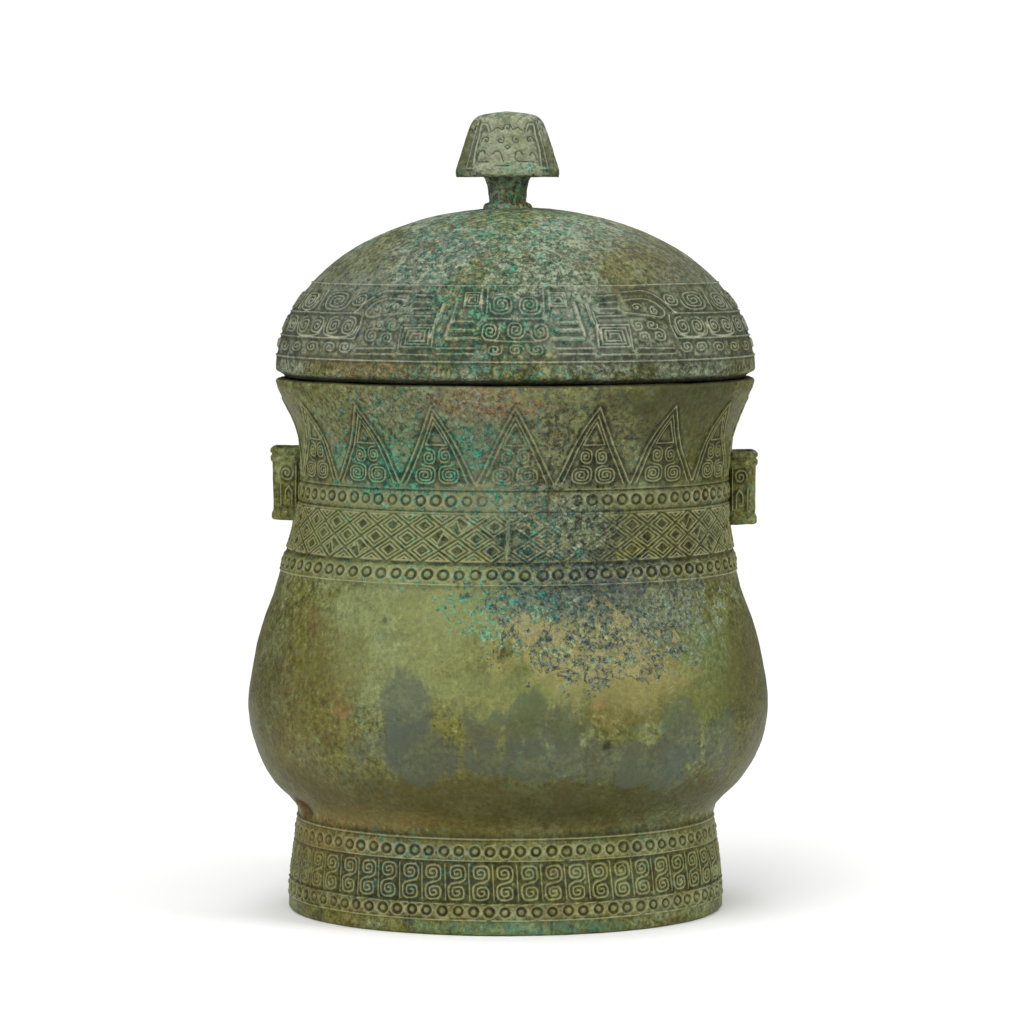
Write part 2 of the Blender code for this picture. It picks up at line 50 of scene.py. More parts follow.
vesselForm = dict(
    depthShare=0.80,
    footHeight=26.0, bellyRise=28.5, shoulderRise=59.0, mouthRise=25.7,
    footWidth=114.0, waistWidth=108.6, bellyWidth=136.1, neckWidth=112.0, mouthWidth=124.8,
    wall=3.0, floorWall=3.5, floorLift=1.5, bowlRise=12.5, edgeRound=0.8,
    neckLean=1.85, footLean=-0.7,
    lowerBelly=((0, 0), (0.13, 0.18), (0.28, 0.50), (0.57, 0.836), (0.80, 0.965), (1, 1)),
    shoulder=((0, 0), (0.22, 0.154), (0.364, 0.344), (0.508, 0.60), (0.651, 0.784), (0.80, 0.93), (1, 1)),
    mouth=((0, 0), (0.35, 0.047), (0.514, 0.203), (0.677, 0.484), (0.84, 0.8125), (0.96, 1), (1, 1)))

bellyLevel = vesselForm["footHeight"] + vesselForm["bellyRise"]
neckLevel = bellyLevel + vesselForm["shoulderRise"]
rimLevel = neckLevel + vesselForm["mouthRise"]
lidLevel = rimLevel + 0.3


# Curves and outlines

def smoothCurve(points):
    # a monotone cubic through a few points, kept as a table
    across, up = np.array(points, dtype=float).T
    steps = np.diff(across)
    slopes = np.diff(up) / steps
    lean = np.zeros(len(up))
    inner = slopes[:-1] * slopes[1:] > 0
    lean[1:-1][inner] = 2 * slopes[:-1][inner] * slopes[1:][inner] / (slopes[:-1] + slopes[1:])[inner]
    places = np.linspace(across[0], across[-1], 400)
    index = np.clip(np.searchsorted(across, places, side="right") - 1, 0, len(steps) - 1)
    share = (places - across[index]) / steps[index]
    square, cube = share ** 2, share ** 3
    start = up[index] * (2 * cube - 3 * square + 1) + lean[index] * steps[index] * (cube - 2 * square + share)
    end = up[index + 1] * (3 * square - 2 * cube) + lean[index + 1] * steps[index] * (cube - square)
    return lambda place: np.interp(place, places, start + end)


lowerBelly = smoothCurve(vesselForm["lowerBelly"])
shoulder = smoothCurve(vesselForm["shoulder"])
mouth = smoothCurve(vesselForm["mouth"])


def mix(first, second, share):
    return first + (second - first) * share


def ease(value):
    value = np.clip(value, 0, 1)
    return value * value * (3 - 2 * value)


def halfWidth(height):
    # half the width of the body at a height
    form = vesselForm
    if height < form["footHeight"]:
        return mix(form["footWidth"], form["waistWidth"], (max(height, 0) / form["footHeight"]) ** 1.7) / 2
    if height < bellyLevel:
        share = lowerBelly((height - form["footHeight"]) / form["bellyRise"])
        return mix(form["waistWidth"], form["bellyWidth"], share) / 2
    if height < neckLevel:
        share = shoulder((height - bellyLevel) / form["shoulderRise"])
        return mix(form["bellyWidth"], form["neckWidth"], share) / 2
    share = mouth(min((height - neckLevel) / form["mouthRise"], 1))
    return mix(form["neckWidth"], form["mouthWidth"], share) / 2


def leanAt(height):
    # the casting leans a little sideways at the neck and at the foot
    form = vesselForm
    low = ease((form["footHeight"] + form["bellyRise"] * 0.7 - height) / (form["bellyRise"] * 0.7))
    start = neckLevel - form["shoulderRise"] / 2
    high = ease((height - start) / (form["mouthRise"] / 4 + form["shoulderRise"] / 2))
    return form["footLean"] * low + form["neckLean"] * high


def closedOutline(corners):
    # a closed outline of half size 1 by 1 as shares of its length, starting at +X
    corners = np.array(corners + corners[:1], dtype=float)
    steps = np.hypot(*np.diff(corners, axis=0).T)
    shares = np.concatenate([[0], np.cumsum(steps)]) / steps.sum()
    return shares[:-1], corners[:-1, 0], corners[:-1, 1]


def ovalOutline():
    turns = np.linspace(0, 2 * math.pi, 1441)
    steps = np.hypot(np.diff(np.cos(turns)), vesselForm["depthShare"] * np.diff(np.sin(turns)))
    shares = np.concatenate([[0], np.cumsum(steps)]) / steps.sum()
    return (shares[:-1], np.cos(turns[:-1]), np.sin(turns[:-1])), steps.sum()


def oblongOutline(width, depth, corner):
    # a rounded oblong, given as shares of its half width and half depth
    corners = []
    for signX, signY, start in ((1, 1, 0), (-1, 1, 90), (-1, -1, 180), (1, -1, 270)):
        for step in range(0, 91, 10):
            turn = math.radians(start + step)
            corners.append((((width - corner) * signX + corner * math.cos(turn)) / width,
                            ((depth - corner) * signY + corner * math.sin(turn)) / depth))
    return closedOutline([(1.0, 0.0)] + corners)


ovalTable, ovalLength = ovalOutline()


class Skin:
    # A shell laid out flat: across runs once round it from its right side, and up runs along its
    # outline. Its stations are rows of height, half width, half depth and sideways shift.

    def __init__(self, stations, girth, outline):
        self.stations = np.array(stations, dtype=float)
        steps = np.hypot(np.diff(self.stations[:, 0]), np.diff(self.stations[:, 1]))
        self.along = np.concatenate([[0], np.cumsum(np.maximum(steps, tiny))])
        self.girth = girth
        self.outline = outline

    def surface(self, across, up):
        height, width, depth, shift = (np.interp(up, self.along, column) for column in self.stations.T)
        shares, edgeX, edgeY = self.outline
        turn = across / self.girth
        x = np.interp(turn, shares, edgeX, period=1) * width + shift
        y = np.interp(turn, shares, edgeY, period=1) * depth
        return np.stack([x, y, height], axis=1)

    def normals(self, across, up):
        step = 0.35
        sideways = self.surface(across + step, up) - self.surface(across - step, up)
        upwards = self.surface(across, up + step) - self.surface(across, up - step)
        normal = np.cross(sideways, upwards)
        return normal / np.maximum(np.linalg.norm(normal, axis=1), tiny)[:, None]


# Relief laid out as threads, grooves and rings on a flat sheet

# each ring's tone is lighter on the boss and rim, with painted shade in its round groove
ringProfile = dict(
    reach=(0, 0.36, 0.56, 0.78, 1.0, 1.3),
    lift=(0.34, 0.26, -0.26, -0.26, 0.14, 0),
    tone=(0.45, 0.4, -1.0, -0.9, 0.6, 0))


def jitter():
    return random.uniform(-1, 1)


def resample(path, step, keepCorners):
    path = np.asarray(path, dtype=float)
    lengths = np.hypot(*np.diff(path, axis=0).T)
    if keepCorners:
        pieces = [path[:1]]
        for start, end, length in zip(path, path[1:], lengths):
            count = max(1, math.ceil(length / step))
            pieces.append(start + (end - start) * np.linspace(0, 1, count + 1)[1:, None])
        return np.vstack(pieces)
    along = np.concatenate([[0], np.cumsum(lengths)])
    places = np.linspace(0, along[-1], max(2, math.ceil(along[-1] / step) + 1))
    return np.stack([np.interp(places, along, path[:, 0]), np.interp(places, along, path[:, 1])], axis=1)


def sideLines(path, foot, closed):
    # the two lines beside a path
    ahead = np.diff(path, axis=0)
    ahead /= np.maximum(np.hypot(*ahead.T), tiny)[:, None]
    if closed:
        before = np.vstack([ahead[-1:], ahead])
        after = np.vstack([ahead, ahead[:1]])
    else:
        before = np.vstack([ahead[:1], ahead])
        after = np.vstack([ahead, ahead[-1:]])
    course = before + after
    course /= np.maximum(np.hypot(*course.T), 0.3)[:, None]
    reach = foot / np.maximum((course * after).sum(axis=1), 0.6)
    side = np.stack([-course[:, 1], course[:, 0]], axis=1) * reach[:, None]
    return path + side, path - side, course


class ReliefSheet:
    def __init__(self, girth):
        self.girth = girth
        self.front = girth * 0.75
        self.points = []
        self.edges = []
        self.raised = []
        self.sunk = []
        self.rings = []

    def lay(self, path, closed=False):
        # edges of the mesh along a path, cut where it crosses the seam
        path = np.asarray(path, dtype=float)
        if closed:
            path = np.vstack([path, path[:1]])
        for shift in (-self.girth, 0.0, self.girth):
            moved = path + (shift, 0.0)
            if moved[:, 0].max() < -tiny or moved[:, 0].min() > self.girth + tiny:
                continue
            if moved[:, 0].min() > tiny and moved[:, 0].max() < self.girth - tiny:
                first = len(self.points)
                self.points.extend(map(tuple, moved))
                self.edges.extend((first + index, first + index + 1) for index in range(len(moved) - 1))
                continue
            for start, end in zip(moved, moved[1:]):
                self.cut(start, end)

    def cut(self, start, end):
        low, high = (start, end) if start[0] <= end[0] else (end, start)
        if high[0] < -tiny or low[0] > self.girth + tiny:
            return
        run = high[0] - low[0]
        if low[0] < 0 and run > tiny:
            low = low + (high - low) * (-low[0] / run)
        if high[0] > self.girth and run > tiny:
            high = low + (high - low) * ((self.girth - low[0]) / (high[0] - low[0]))
        first = len(self.points)
        for corner in (low, high):
            self.dot(corner[0], corner[1])
        if np.hypot(*(high - low)) > tiny:
            self.edges.append((first, first + 1))

    def dot(self, across, up):
        if abs(across) < tiny:
            across = 0.0
        if abs(across - self.girth) < tiny:
            across = self.girth
        self.points.append((across, up))

    def mark(self, path, height, foot, marks):
        for across, up in resample(path, 0.18, True):
            for shift in (-self.girth, 0.0, self.girth):
                if -3 < across + shift < self.girth + 3:
                    marks.append((across + shift, up, height, foot))

    def thread(self, path, height=0.42, foot=0.42, closed=False, keepCorners=False, step=0.7):
        # a line raised over the ground, or sunk into it where its height is negative
        path = np.asarray(path, dtype=float)
        if closed and np.hypot(*(path[0] - path[-1])) > tiny:
            path = np.vstack([path, path[:1]])
        self.mark(path, height, foot, self.raised if height > 0 else self.sunk)
        path = resample(path, step, keepCorners)
        left, right, course = sideLines(path, foot, closed)
        self.lay(path)
        if closed:
            self.lay(left)
            self.lay(right)
        else:
            head = path[-1:] + course[-1:] * foot * 0.8
            tail = path[:1] - course[:1] * foot * 0.8
            self.lay(np.vstack([left, head, right[::-1], tail]), closed=True)

    def circle(self, across, up, radius, count, turn=0.0):
        angles = np.linspace(0, 2 * math.pi, count, endpoint=False) + turn
        return np.stack([across + radius * np.cos(angles), up + radius * np.sin(angles)], axis=1)

    def ring(self, across, up, size):
        # a small boss in a round groove
        for shift in (-self.girth, 0.0, self.girth):
            if -4 < across + shift < self.girth + 4:
                self.rings.append((across + shift, up, size))
        if tiny < across < self.girth - tiny:
            self.dot(across, up)
        for radius, count in ((0.36, 8), (0.56, 10), (0.78, 10), (1.0, 11)):
            self.lay(self.circle(across, up, radius * size, count, across), closed=True)

    def level(self, up, count):
        self.lay([(self.girth * index / count, up) for index in range(count + 1)])

    def band(self, up, height, foot, count, step):
        # a thread all the way round
        path = [(self.girth * share, up) for share in np.linspace(0, 1, count)]
        self.thread(path, height, foot, keepCorners=True, step=step)

    def isClear(self, tree, across, up):
        # whether a loose point keeps away from the threads and rings
        if tree is not None and tree.find((across, up, 0))[2] <= 0.85:
            return False
        near = [ring for ring in self.rings if abs(ring[0] - across) < 2.2 and abs(ring[1] - up) < 2]
        return all(math.hypot(ring[0] - across, ring[1] - up) >= ring[2] + 0.3 for ring in near)

    def fill(self, low, high, spacing):
        # loose points over a plain stretch, away from the lines
        rows = max(1, round((high - low) / (spacing * 0.87)))
        columns = max(4, round(self.girth / spacing))
        tree = treeOf([(mark[0], mark[1]) for mark in self.raised + self.sunk])
        for row in range(1, rows):
            up = mix(low, high, row / rows)
            for column in range(columns + (row % 2 == 0)):
                across = self.girth * (column + 0.5 * (row % 2)) / columns
                if across > tiny and across < self.girth - tiny:
                    across += random.uniform(-0.2, 0.2) * spacing
                if self.isClear(tree, across, up):
                    self.dot(across, up)


def treeOf(places):
    if not places:
        return None
    tree = kdtree.KDTree(len(places))
    for index, place in enumerate(places):
        tree.insert((place[0], place[1], 0.0), index)
    tree.balance()
    return tree


def reliefOf(sheet, flat):
    # how far each point stands off the skin, and how light or dark its place is: lighter worn crests, and
    # painted shade in the grooves beside threads and round rings
    lifts = np.zeros(len(flat))
    tonesAndShade = np.zeros(len(flat))
    for marks in (sheet.raised, sheet.sunk):
        tree = treeOf(marks)
        if tree is None:
            continue
        for index, (across, up) in enumerate(flat):
            _, nearest, distance = tree.find((across, up, 0.0))
            if distance > 2.5:
                continue
            height, foot = marks[nearest][2:]
            share = distance / foot
            if share < 1:
                lifts[index] += height * (1 - share ** 1.6)
                tonesAndShade[index] += (1 - 1.3 * share * share) if height > 0 else -(1 - share)
            elif height > 0:
                # painted shade in the groove just beside a raised thread
                tonesAndShade[index] -= np.interp(distance - foot, (0, 0.3, 0.8), (0.85, 0.25, 0))
    tree = treeOf(sheet.rings)
    if tree is not None:
        for index, (across, up) in enumerate(flat):
            _, nearest, distance = tree.find((across, up, 0.0))
            size = sheet.rings[nearest][2]
            if distance < size * 1.3:
                lifts[index] += np.interp(distance / size, ringProfile["reach"], ringProfile["lift"])
                tonesAndShade[index] = np.interp(distance / size, ringProfile["reach"], ringProfile["tone"])
    return lifts, np.clip(tonesAndShade, -1, 1)


def wrapSheet(name, sheet, skin, rough, platform=None, wear=None, dents=(), capped=True, shadedHollow=None):
    # triangles between all the lines, wrapped round the skin and roughened as a casting is
    corners = [Vector(point) for point in sheet.points]
    points, _, faces, _, _, _ = delaunay_2d_cdt(corners, sheet.edges, [], 0, tiny)
    flat = np.array([tuple(point) for point in points], dtype=float)
    across, up = flat.T
    base = skin.surface(across, up)
    normals = skin.normals(across, up)
    lifts, tonesAndShade = reliefOf(sheet, flat)
    kept = wornAway(base, wear) if wear else np.ones(len(flat))
    lifts *= kept
    tonesAndShade *= 0.35 + 0.65 * kept
    if platform is not None:
        lifts += np.interp(up, platform[0], platform[1]) * (0.5 + 0.5 * kept)
        tonesAndShade += np.interp(up, platform[0], platform[2])
    for index, spot in enumerate(base):
        lifts[index] += rough * noise.noise(spot * 0.09) * 1.6
        lifts[index] += rough * noise.noise(spot * 0.42 + (7, 0, 0)) * 0.7
    for centre, radius, depth in dents:
        distance = np.linalg.norm((base - centre) * (1, 0.8, 1), axis=1)
        near = distance < radius
        lifts[near] -= depth * (1 - (distance[near] / radius) ** 2)
        tonesAndShade[near] -= 0.9 * (1 - distance[near] / radius)
    solid = (base + normals * lifts[:, None]) * mm
    work = bmesh.new()
    # the relief attribute carries the worn crests and the painted groove shade
    toneShadeLayer = work.verts.layers.float.new("relief")
    # inner faces get painted shade, set per station
    insideShadeLayer = work.verts.layers.float.new("inside")
    insideShade = np.interp(up, skin.along, shadedHollow) if shadedHollow is not None else np.zeros(len(flat))
    corners = []
    for place, tone, depth in zip(solid, np.clip(tonesAndShade, -1, 1), insideShade):
        corner = work.verts.new(place)
        corner[toneShadeLayer] = tone
        corner[insideShadeLayer] = depth
        corners.append(corner)
    for face in faces:
        work.faces.new([corners[index] for index in face])
    bmesh.ops.remove_doubles(work, verts=work.verts, dist=0.000002)
    if capped:
        rims = [edge for edge in work.edges if edge.is_boundary]
        caps = bmesh.ops.holes_fill(work, edges=rims, sides=0)
        bmesh.ops.triangulate(work, faces=caps["faces"])
    else:
        # the corners stay in the order of the mesh, so that each run gives the same result
        rims = dict.fromkeys(corner for edge in work.edges if edge.is_boundary for corner in edge.verts)
        bmesh.ops.remove_doubles(work, verts=list(rims), dist=0.0003)
    bmesh.ops.recalc_face_normals(work, faces=work.faces)
    loose = sum(1 for edge in work.edges if not edge.is_manifold)
    mesh = bpy.data.meshes.new(name)
    work.to_mesh(mesh)
    work.free()
    mesh.shade_smooth()
    piece = bpy.data.objects.new(name, mesh)
    bpy.context.scene.collection.objects.link(piece)
    print(name, len(mesh.polygons), "triangles,", loose, "open edges")
    return piece


def wornAway(base, wear):
    # how much of the relief is left at each point
    kept = np.ones(len(base))
    for x, z, wide, tall, loss in wear["places"]:
        distance = ((base[:, 0] - x) / wide) ** 2 + ((base[:, 2] - z) / tall) ** 2
        kept -= loss * np.exp(-distance) * (base[:, 1] < 0)
    for index, spot in enumerate(base * wear["scale"] + wear["shift"]):
        kept[index] += wear["patchiness"] * noise.noise(spot) - wear["overall"]
    return np.clip(kept, *wear["range"])


def spiral(across, up, wide, tall, turns, start=0.0, way=1, square=0.5, inner=0.12):
    # a thread that winds in from its rim to its middle
    count = max(8, int(turns * 20))
    share = np.linspace(0, 1, count)
    angle = math.radians(start) + way * 2 * math.pi * turns * share
    power = 2 + 2.5 * square
    bulge = (np.abs(np.cos(angle)) ** power + np.abs(np.sin(angle)) ** power) ** (-1 / power)
    size = (1 - share * (1 - inner)) * bulge
    return np.stack([across + wide * size * np.cos(angle), up + tall * size * np.sin(angle)], axis=1)


# The body: a hollow pear with relief on its neck and on its foot

bodyRelief = dict(
    bladeCount=16, bladeBase=113.4, bladeTip=133.8,
    ringCount=80, ringSize=1.75, ringRows=((110.1, 1.0), (91.7, 0.97), (21.3, 0.95), (6.2, 0.93)),
    lozengeCount=36, lozengeLow=94.6, lozengeHigh=106.8, lozengeShares=(0.80, 0.47), lozengeBroken=0.22,
    flangeHeights=((0.75, 2.3), (0.25, 1.3)), flangeFoot=0.9, flangeShift=0.8, flangeInset=0.6,
    tileCount=52, tileLow=8.6, tileHigh=18.4,
    lines=(113.0, 106.95, 89.2, 19.0, 8.1, 4.0), crease=24.4, rough=0.14, seed=11,
    # from, to and spacing of the loose points
    fills=((0.8, 25.5, 1.3), (25.5, 88.5, 1.75), (88.5, 137.5, 1.3)),
    # height, lift and tone of the steps between the bands; a negative tone is painted shade in a narrow
    # groove
    steps=((3.4, 0, 0), (3.8, 0.1, 0.1), (8.0, 0.12, 0.1), (8.4, -0.1, -0.3), (8.9, 0, 0.05), (18.2, 0, 0.05),
           (18.6, -0.08, -0.3), (19.2, 0.12, 0.1), (23.4, 0.15, 0.1), (24.0, -0.1, -0.3), (24.4, 0.1, 0.5),
           (25.0, 0, 0), (25.6, 0, 0), (89.1, 0, 0), (89.6, 0.28, 0.05), (93.7, 0.28, 0.05),
           (94.0, -0.12, -0.5), (94.4, -0.12, -0.5), (94.8, 0, -0.1), (106.6, 0, -0.1), (107.3, -0.12, -0.5),
           (107.6, -0.12, -0.5), (107.9, 0.28, 0.05), (112.3, 0.28, 0.05), (112.5, -0.15, -0.6),
           (112.8, -0.15, -0.6), (113.3, 0, 0)))


def bodyStations():
    form = vesselForm
    share = form["depthShare"]
    floor = form["footHeight"] + form["floorLift"]
    bowlTop = floor + form["bowlRise"]
    bowlWidth = halfWidth(bowlTop) - form["wall"]
    bowlDepth = halfWidth(bowlTop) * share - form["wall"]
    inner = halfWidth(form["footHeight"]) - form["wall"]
    innerDepth = halfWidth(form["footHeight"]) * share - form["wall"]
    rows = []
    for part in (0.06, 0.25, 0.45, 0.65, 0.85, 0.96):
        bowl = bowlTop - form["bowlRise"] * math.sqrt(1 - (part * inner / bowlWidth) ** 2)
        rows.append((bowl - form["floorWall"], part * inner, part * innerDepth))
    rows.append((rows[-1][0] - 1.6, inner, innerDepth))
    for height in (16.0, 10.0, 5.0, form["edgeRound"]):
        width = halfWidth(height)
        rows.append((height, width - form["wall"], width * share - form["wall"]))
    base = halfWidth(0)
    for inset in (form["wall"] - 0.7, 0.7):
        rows.append((0, base - inset, base * share - inset))
    outStart = len(rows)
    for height in np.arange(form["edgeRound"], rimLevel - form["edgeRound"] + 0.01, 0.8):
        width = halfWidth(height)
        rows.append((height, width, width * share))
    outEnd = len(rows)
    rim = halfWidth(rimLevel)
    for inset, drop in ((0.12, 0.45), (0.5, 0.12), (form["wall"] - form["edgeRound"], 0),
                        (form["wall"] - 0.25, 0.25)):
        rows.append((rimLevel - drop, rim - inset, rim * share - inset))
    for height in np.arange(rimLevel - 1.2, bowlTop, -2.0):
        width = halfWidth(height)
        rows.append((height, width - form["wall"], width * share - form["wall"]))
    for degrees in range(4, 90, 6):
        turn = math.radians(degrees)
        rows.append((bowlTop - form["bowlRise"] * math.sin(turn), bowlWidth * math.cos(turn),
                     bowlDepth * math.cos(turn)))
    return [row + (float(leanAt(row[0])),) for row in rows], outStart, outEnd


def layBlade(sheet, centre, low, high):
    # a rising blade: two nested threads, a bar, and two pairs of spirals
    half = sheet.girth / bodyRelief["bladeCount"] / 2
    slope = half / (high - low)
    start = low + 0.9
    tip = high - 2.5
    bar = low + 10.8
    reach = (tip - start) * slope * 0.97
    barReach = (tip - bar) * slope - 0.9
    outer = [(centre - half + 0.25, start), (centre, high), (centre + half - 0.25, start)]
    inner = [(centre - reach, start), (centre, tip), (centre + reach, start)]
    point = [(centre - barReach, bar), (centre, tip - 1.9), (centre + barReach, bar)]
    sheet.thread(outer, 0.42, 0.42, keepCorners=True)
    sheet.thread(inner, 0.36, 0.36, keepCorners=True)
    sheet.thread(point, 0.34, 0.34, closed=True, keepCorners=True)
    for side in (-1, 1):
        small = spiral(centre + side * 2.1, low + 7.8 + jitter() * 0.2, 1.75, 2.0, 2.1, 90, side, 0.45)
        sheet.thread(small, 0.34, 0.32)
        large = spiral(centre + side * 3.25, low + 3.1 + jitter() * 0.15, 2.95, 2.35, 2.9, 90, side, 0.5)
        sheet.thread(large, 0.36, 0.34)


def layLozenges(sheet, up):
    # nested diamonds, with a half-shifted row in the middle and half diamonds at the edges
    pitch = sheet.girth / bodyRelief["lozengeCount"]
    low, high = up(bodyRelief["lozengeLow"]), up(bodyRelief["lozengeHigh"])
    tall = (high - low) / 4
    rows = ((low + tall, 0.5, 0), (high - tall, 0.5, 0), (low + 2 * tall, 0.0, 0), (low, 0.0, 1),
            (high, 0.0, -1))
    for index in range(bodyRelief["lozengeCount"]):
        for middle, offset, half in rows:
            centre = sheet.front + (index + offset) * pitch + jitter() * 0.12
            if half == 0 and offset == 0.0 and index % (bodyRelief["lozengeCount"] // 2) == 0:
                continue
            for share in bodyRelief["lozengeShares"]:
                wide, reach = pitch / 2 * share, tall * share
                if half != 0:
                    edge = middle + half * 0.45
                    corners = [(centre - wide + 0.5, edge), (centre, middle + half * reach),
                               (centre + wide - 0.5, edge)]
                elif share < 0.6 and random.random() < bodyRelief["lozengeBroken"]:
                    way = random.choice((-1, 1))
                    hook = [(centre + way * wide * run, middle + reach * rise)
                            for run, rise in ((-1.1, 0), (-0.3, 0.9), (0, 0), (0.3, -0.9), (1.1, 0))]
                    sheet.thread(hook, 0.34, 0.36, keepCorners=True)
                    continue
                else:
                    corners = [(centre - wide, middle), (centre, middle + reach), (centre + wide, middle),
                               (centre, middle - reach)]
                sheet.thread(corners, 0.38, 0.38, closed=True, keepCorners=True, step=1.1)


def layTile(sheet, centre, low, high, pitch):
    # two spirals joined as an S, with a slanting line beside them
    middle = (low + high) / 2
    upper = spiral(centre - 0.2 + jitter() * 0.15, middle + 2.45, 2.4, 2.25, 2.0, -60, 1, 0.7)
    lower = spiral(centre + 0.2 + jitter() * 0.15, middle - 2.45, 2.4, 2.25, 2.0, 120, 1, 0.7)
    sheet.thread(np.vstack([upper[::-1], lower]), 0.36, 0.42, step=0.75)
    side = centre + pitch / 2
    sheet.thread([(side - 0.2, high - 0.5), (side + 0.3, low + 0.5)], 0.30, 0.3, keepCorners=True)


# Where the relief is worn off, most at the middle of the neck, and where the wall is pitted
bodyWear = dict(
    # across, height, half width, half height and loss
    places=((15, 101, 13, 9, 0.90), (4, 110, 14, 5, 0.55), (0, 123, 11, 13, 0.70), (-30, 122, 14, 9, 0.20),
            (55, 20, 12, 5, 0.5), (-54, 14, 13, 14, 0.70)),
    # centre, radius and depth
    dents=(((-52.5, -16.0, 28.0), 3.2, 1.7), ((24.8, -50.0, 49.0), 2.0, 0.7),
           ((-53.0, -28.0, 70.5), 1.6, 0.5), ((-58.0, -24.0, 65.5), 1.5, 0.5),
           ((-43.0, -37.0, 47.5), 1.5, 0.4), ((-31.0, -43.0, 80.0), 1.2, 0.4)),
    patchiness=0.45, overall=0.05, scale=(0.07, 0.07, 0.09), shift=(3, 0, 0), range=(0.12, 1.1))


def makeBody():
    random.seed(bodyRelief["seed"])
    rows, outStart, outEnd = bodyStations()
    girth = vesselForm["neckWidth"] / 2 * ovalLength
    skin = Skin(rows, girth, ovalTable)
    sheet = ReliefSheet(girth)
    heights = skin.stations[outStart:outEnd, 0]
    alongs = skin.along[outStart:outEnd]

    def up(height):
        return float(np.interp(height, heights, alongs))

    relief = bodyRelief
    for height in relief["lines"]:
        sheet.band(up(height), 0.34, 0.34, 240, 1.4)
    sheet.band(up(relief["crease"]), 0.30, 0.4, 200, 1.7)
    for index in range(relief["bladeCount"]):
        centre = sheet.front + index * girth / relief["bladeCount"]
        layBlade(sheet, centre, up(relief["bladeBase"]), up(relief["bladeTip"]))
    layLozenges(sheet, up)
    low = up(relief["lozengeLow"] + relief["flangeInset"])
    high = up(relief["lozengeHigh"] - relief["flangeInset"])
    for share, height in relief["flangeHeights"]:
        across = girth * share - relief["flangeShift"]
        sheet.thread([(across, low), (across, high)], height, relief["flangeFoot"], keepCorners=True)
    pitch = girth / relief["tileCount"]
    for index in range(relief["tileCount"]):
        layTile(sheet, sheet.front + index * pitch, up(relief["tileLow"]), up(relief["tileHigh"]), pitch)
    for height, size in relief["ringRows"]:
        for index in range(relief["ringCount"]):
            across = (sheet.front + index * girth / relief["ringCount"] + jitter() * 0.15) % girth
            level = up(height) + jitter() * 0.15
            sheet.ring(across, level, relief["ringSize"] * size * (1 + 0.07 * jitter()))

    for along, count in ((skin.along[0], 16), (skin.along[-1], 16)):
        sheet.level(along, count)
    for index in (6, 7, 10, 11, 12, outStart):
        sheet.level(skin.along[index], 110)
    for index in range(outEnd - 1, outEnd + 4):
        sheet.level(skin.along[index], 200)
    sheet.fill(skin.along[0], skin.along[outStart - 1], 4.0)
    for low, high, spacing in relief["fills"]:
        sheet.fill(up(low), up(high), spacing)
    sheet.fill(skin.along[outEnd + 4], skin.along[-1], 3.6)
    for centre, radius, _ in bodyWear["dents"]:
        x, y, z = centre
        angle = math.atan2(y / vesselForm["depthShare"], x - leanAt(z)) % (2 * math.pi)
        across = girth * np.interp(angle / (2 * math.pi), np.arange(1440) / 1440, ovalTable[0])
        for share, count in ((0.3, 6), (0.65, 10), (1.0, 14)):
            sheet.lay(sheet.circle(across, up(z), radius * share, count), closed=True)

    platform = np.array([(up(height), lift, tone) for height, lift, tone in relief["steps"]]).T
    # painted shade over the inner faces of the body
    shadedHollow = np.ones(len(skin.along))
    shadedHollow[outStart - 1:outEnd + 1] = 0
    return wrapSheet("bodyCasting", sheet, skin, relief["rough"], platform, bodyWear, bodyWear["dents"],
                     shadedHollow=shadedHollow)


# The lid: a dome with a register of meanders, and the collar that drops into the mouth

lidForm = dict(
    edge=2.2, rise=41.7, wall=3.0, collarDrop=11.0, collarWall=2.2, clearance=0.8, plainTop=183.2,
    girthRise=11.5, bandLow=145.6, bandHigh=163.4, thread=0.40, height=0.46, rough=0.14, seed=5,
    # height, lift and tone of the sunk band, whose tone is a slight painted shade
    steps=((140.0, 0, 0), (145.3, 0, 0), (145.9, -0.16, -0.05), (163.0, -0.16, -0.05), (163.8, 0, 0),
           (170, 0, 0)))


def lidStations():
    form = vesselForm
    share = form["depthShare"]
    half = form["mouthWidth"] / 2
    edgeTop = lidLevel + lidForm["edge"]
    ledge = lidLevel + lidForm["wall"]
    collarBase = lidLevel - lidForm["collarDrop"]
    collar = halfWidth(collarBase) - form["wall"] - lidForm["clearance"]
    collarDepth = halfWidth(collarBase) * share - form["wall"] - lidForm["clearance"]
    rows = []
    for degrees in (88, 80, 70, 60, 50, 40, 30, 20, 10, 3):
        turn = math.radians(degrees)
        rows.append((edgeTop + (lidForm["rise"] - lidForm["wall"]) * math.sin(turn),
                     (half - lidForm["wall"]) * math.cos(turn),
                     (half * share - lidForm["wall"]) * math.cos(turn)))
    thin = lidForm["collarWall"]
    for height, inset in ((ledge, thin), (collarBase + 0.5, thin), (collarBase, thin - 0.5),
                          (collarBase, 0.5), (collarBase + 0.5, 0), (lidLevel, 0)):
        rows.append((height, collar - inset, collarDepth - inset))
    for height, inset in ((0, 2.4), (0.7, 1.9), (1.25, 0.9), (1.5, 0.35)):
        rows.append((lidLevel + height, half - inset, half * share - inset))
    rows.append((lidLevel + 2.0, half, half * share))
    outStart = len(rows) - 1
    for turn in np.linspace(0, math.acos(2.5 / half), 90):
        rows.append((edgeTop + lidForm["rise"] * math.sin(turn), half * math.cos(turn),
                     half * share * math.cos(turn)))
    return [row + (float(leanAt(row[0])),) for row in rows], outStart


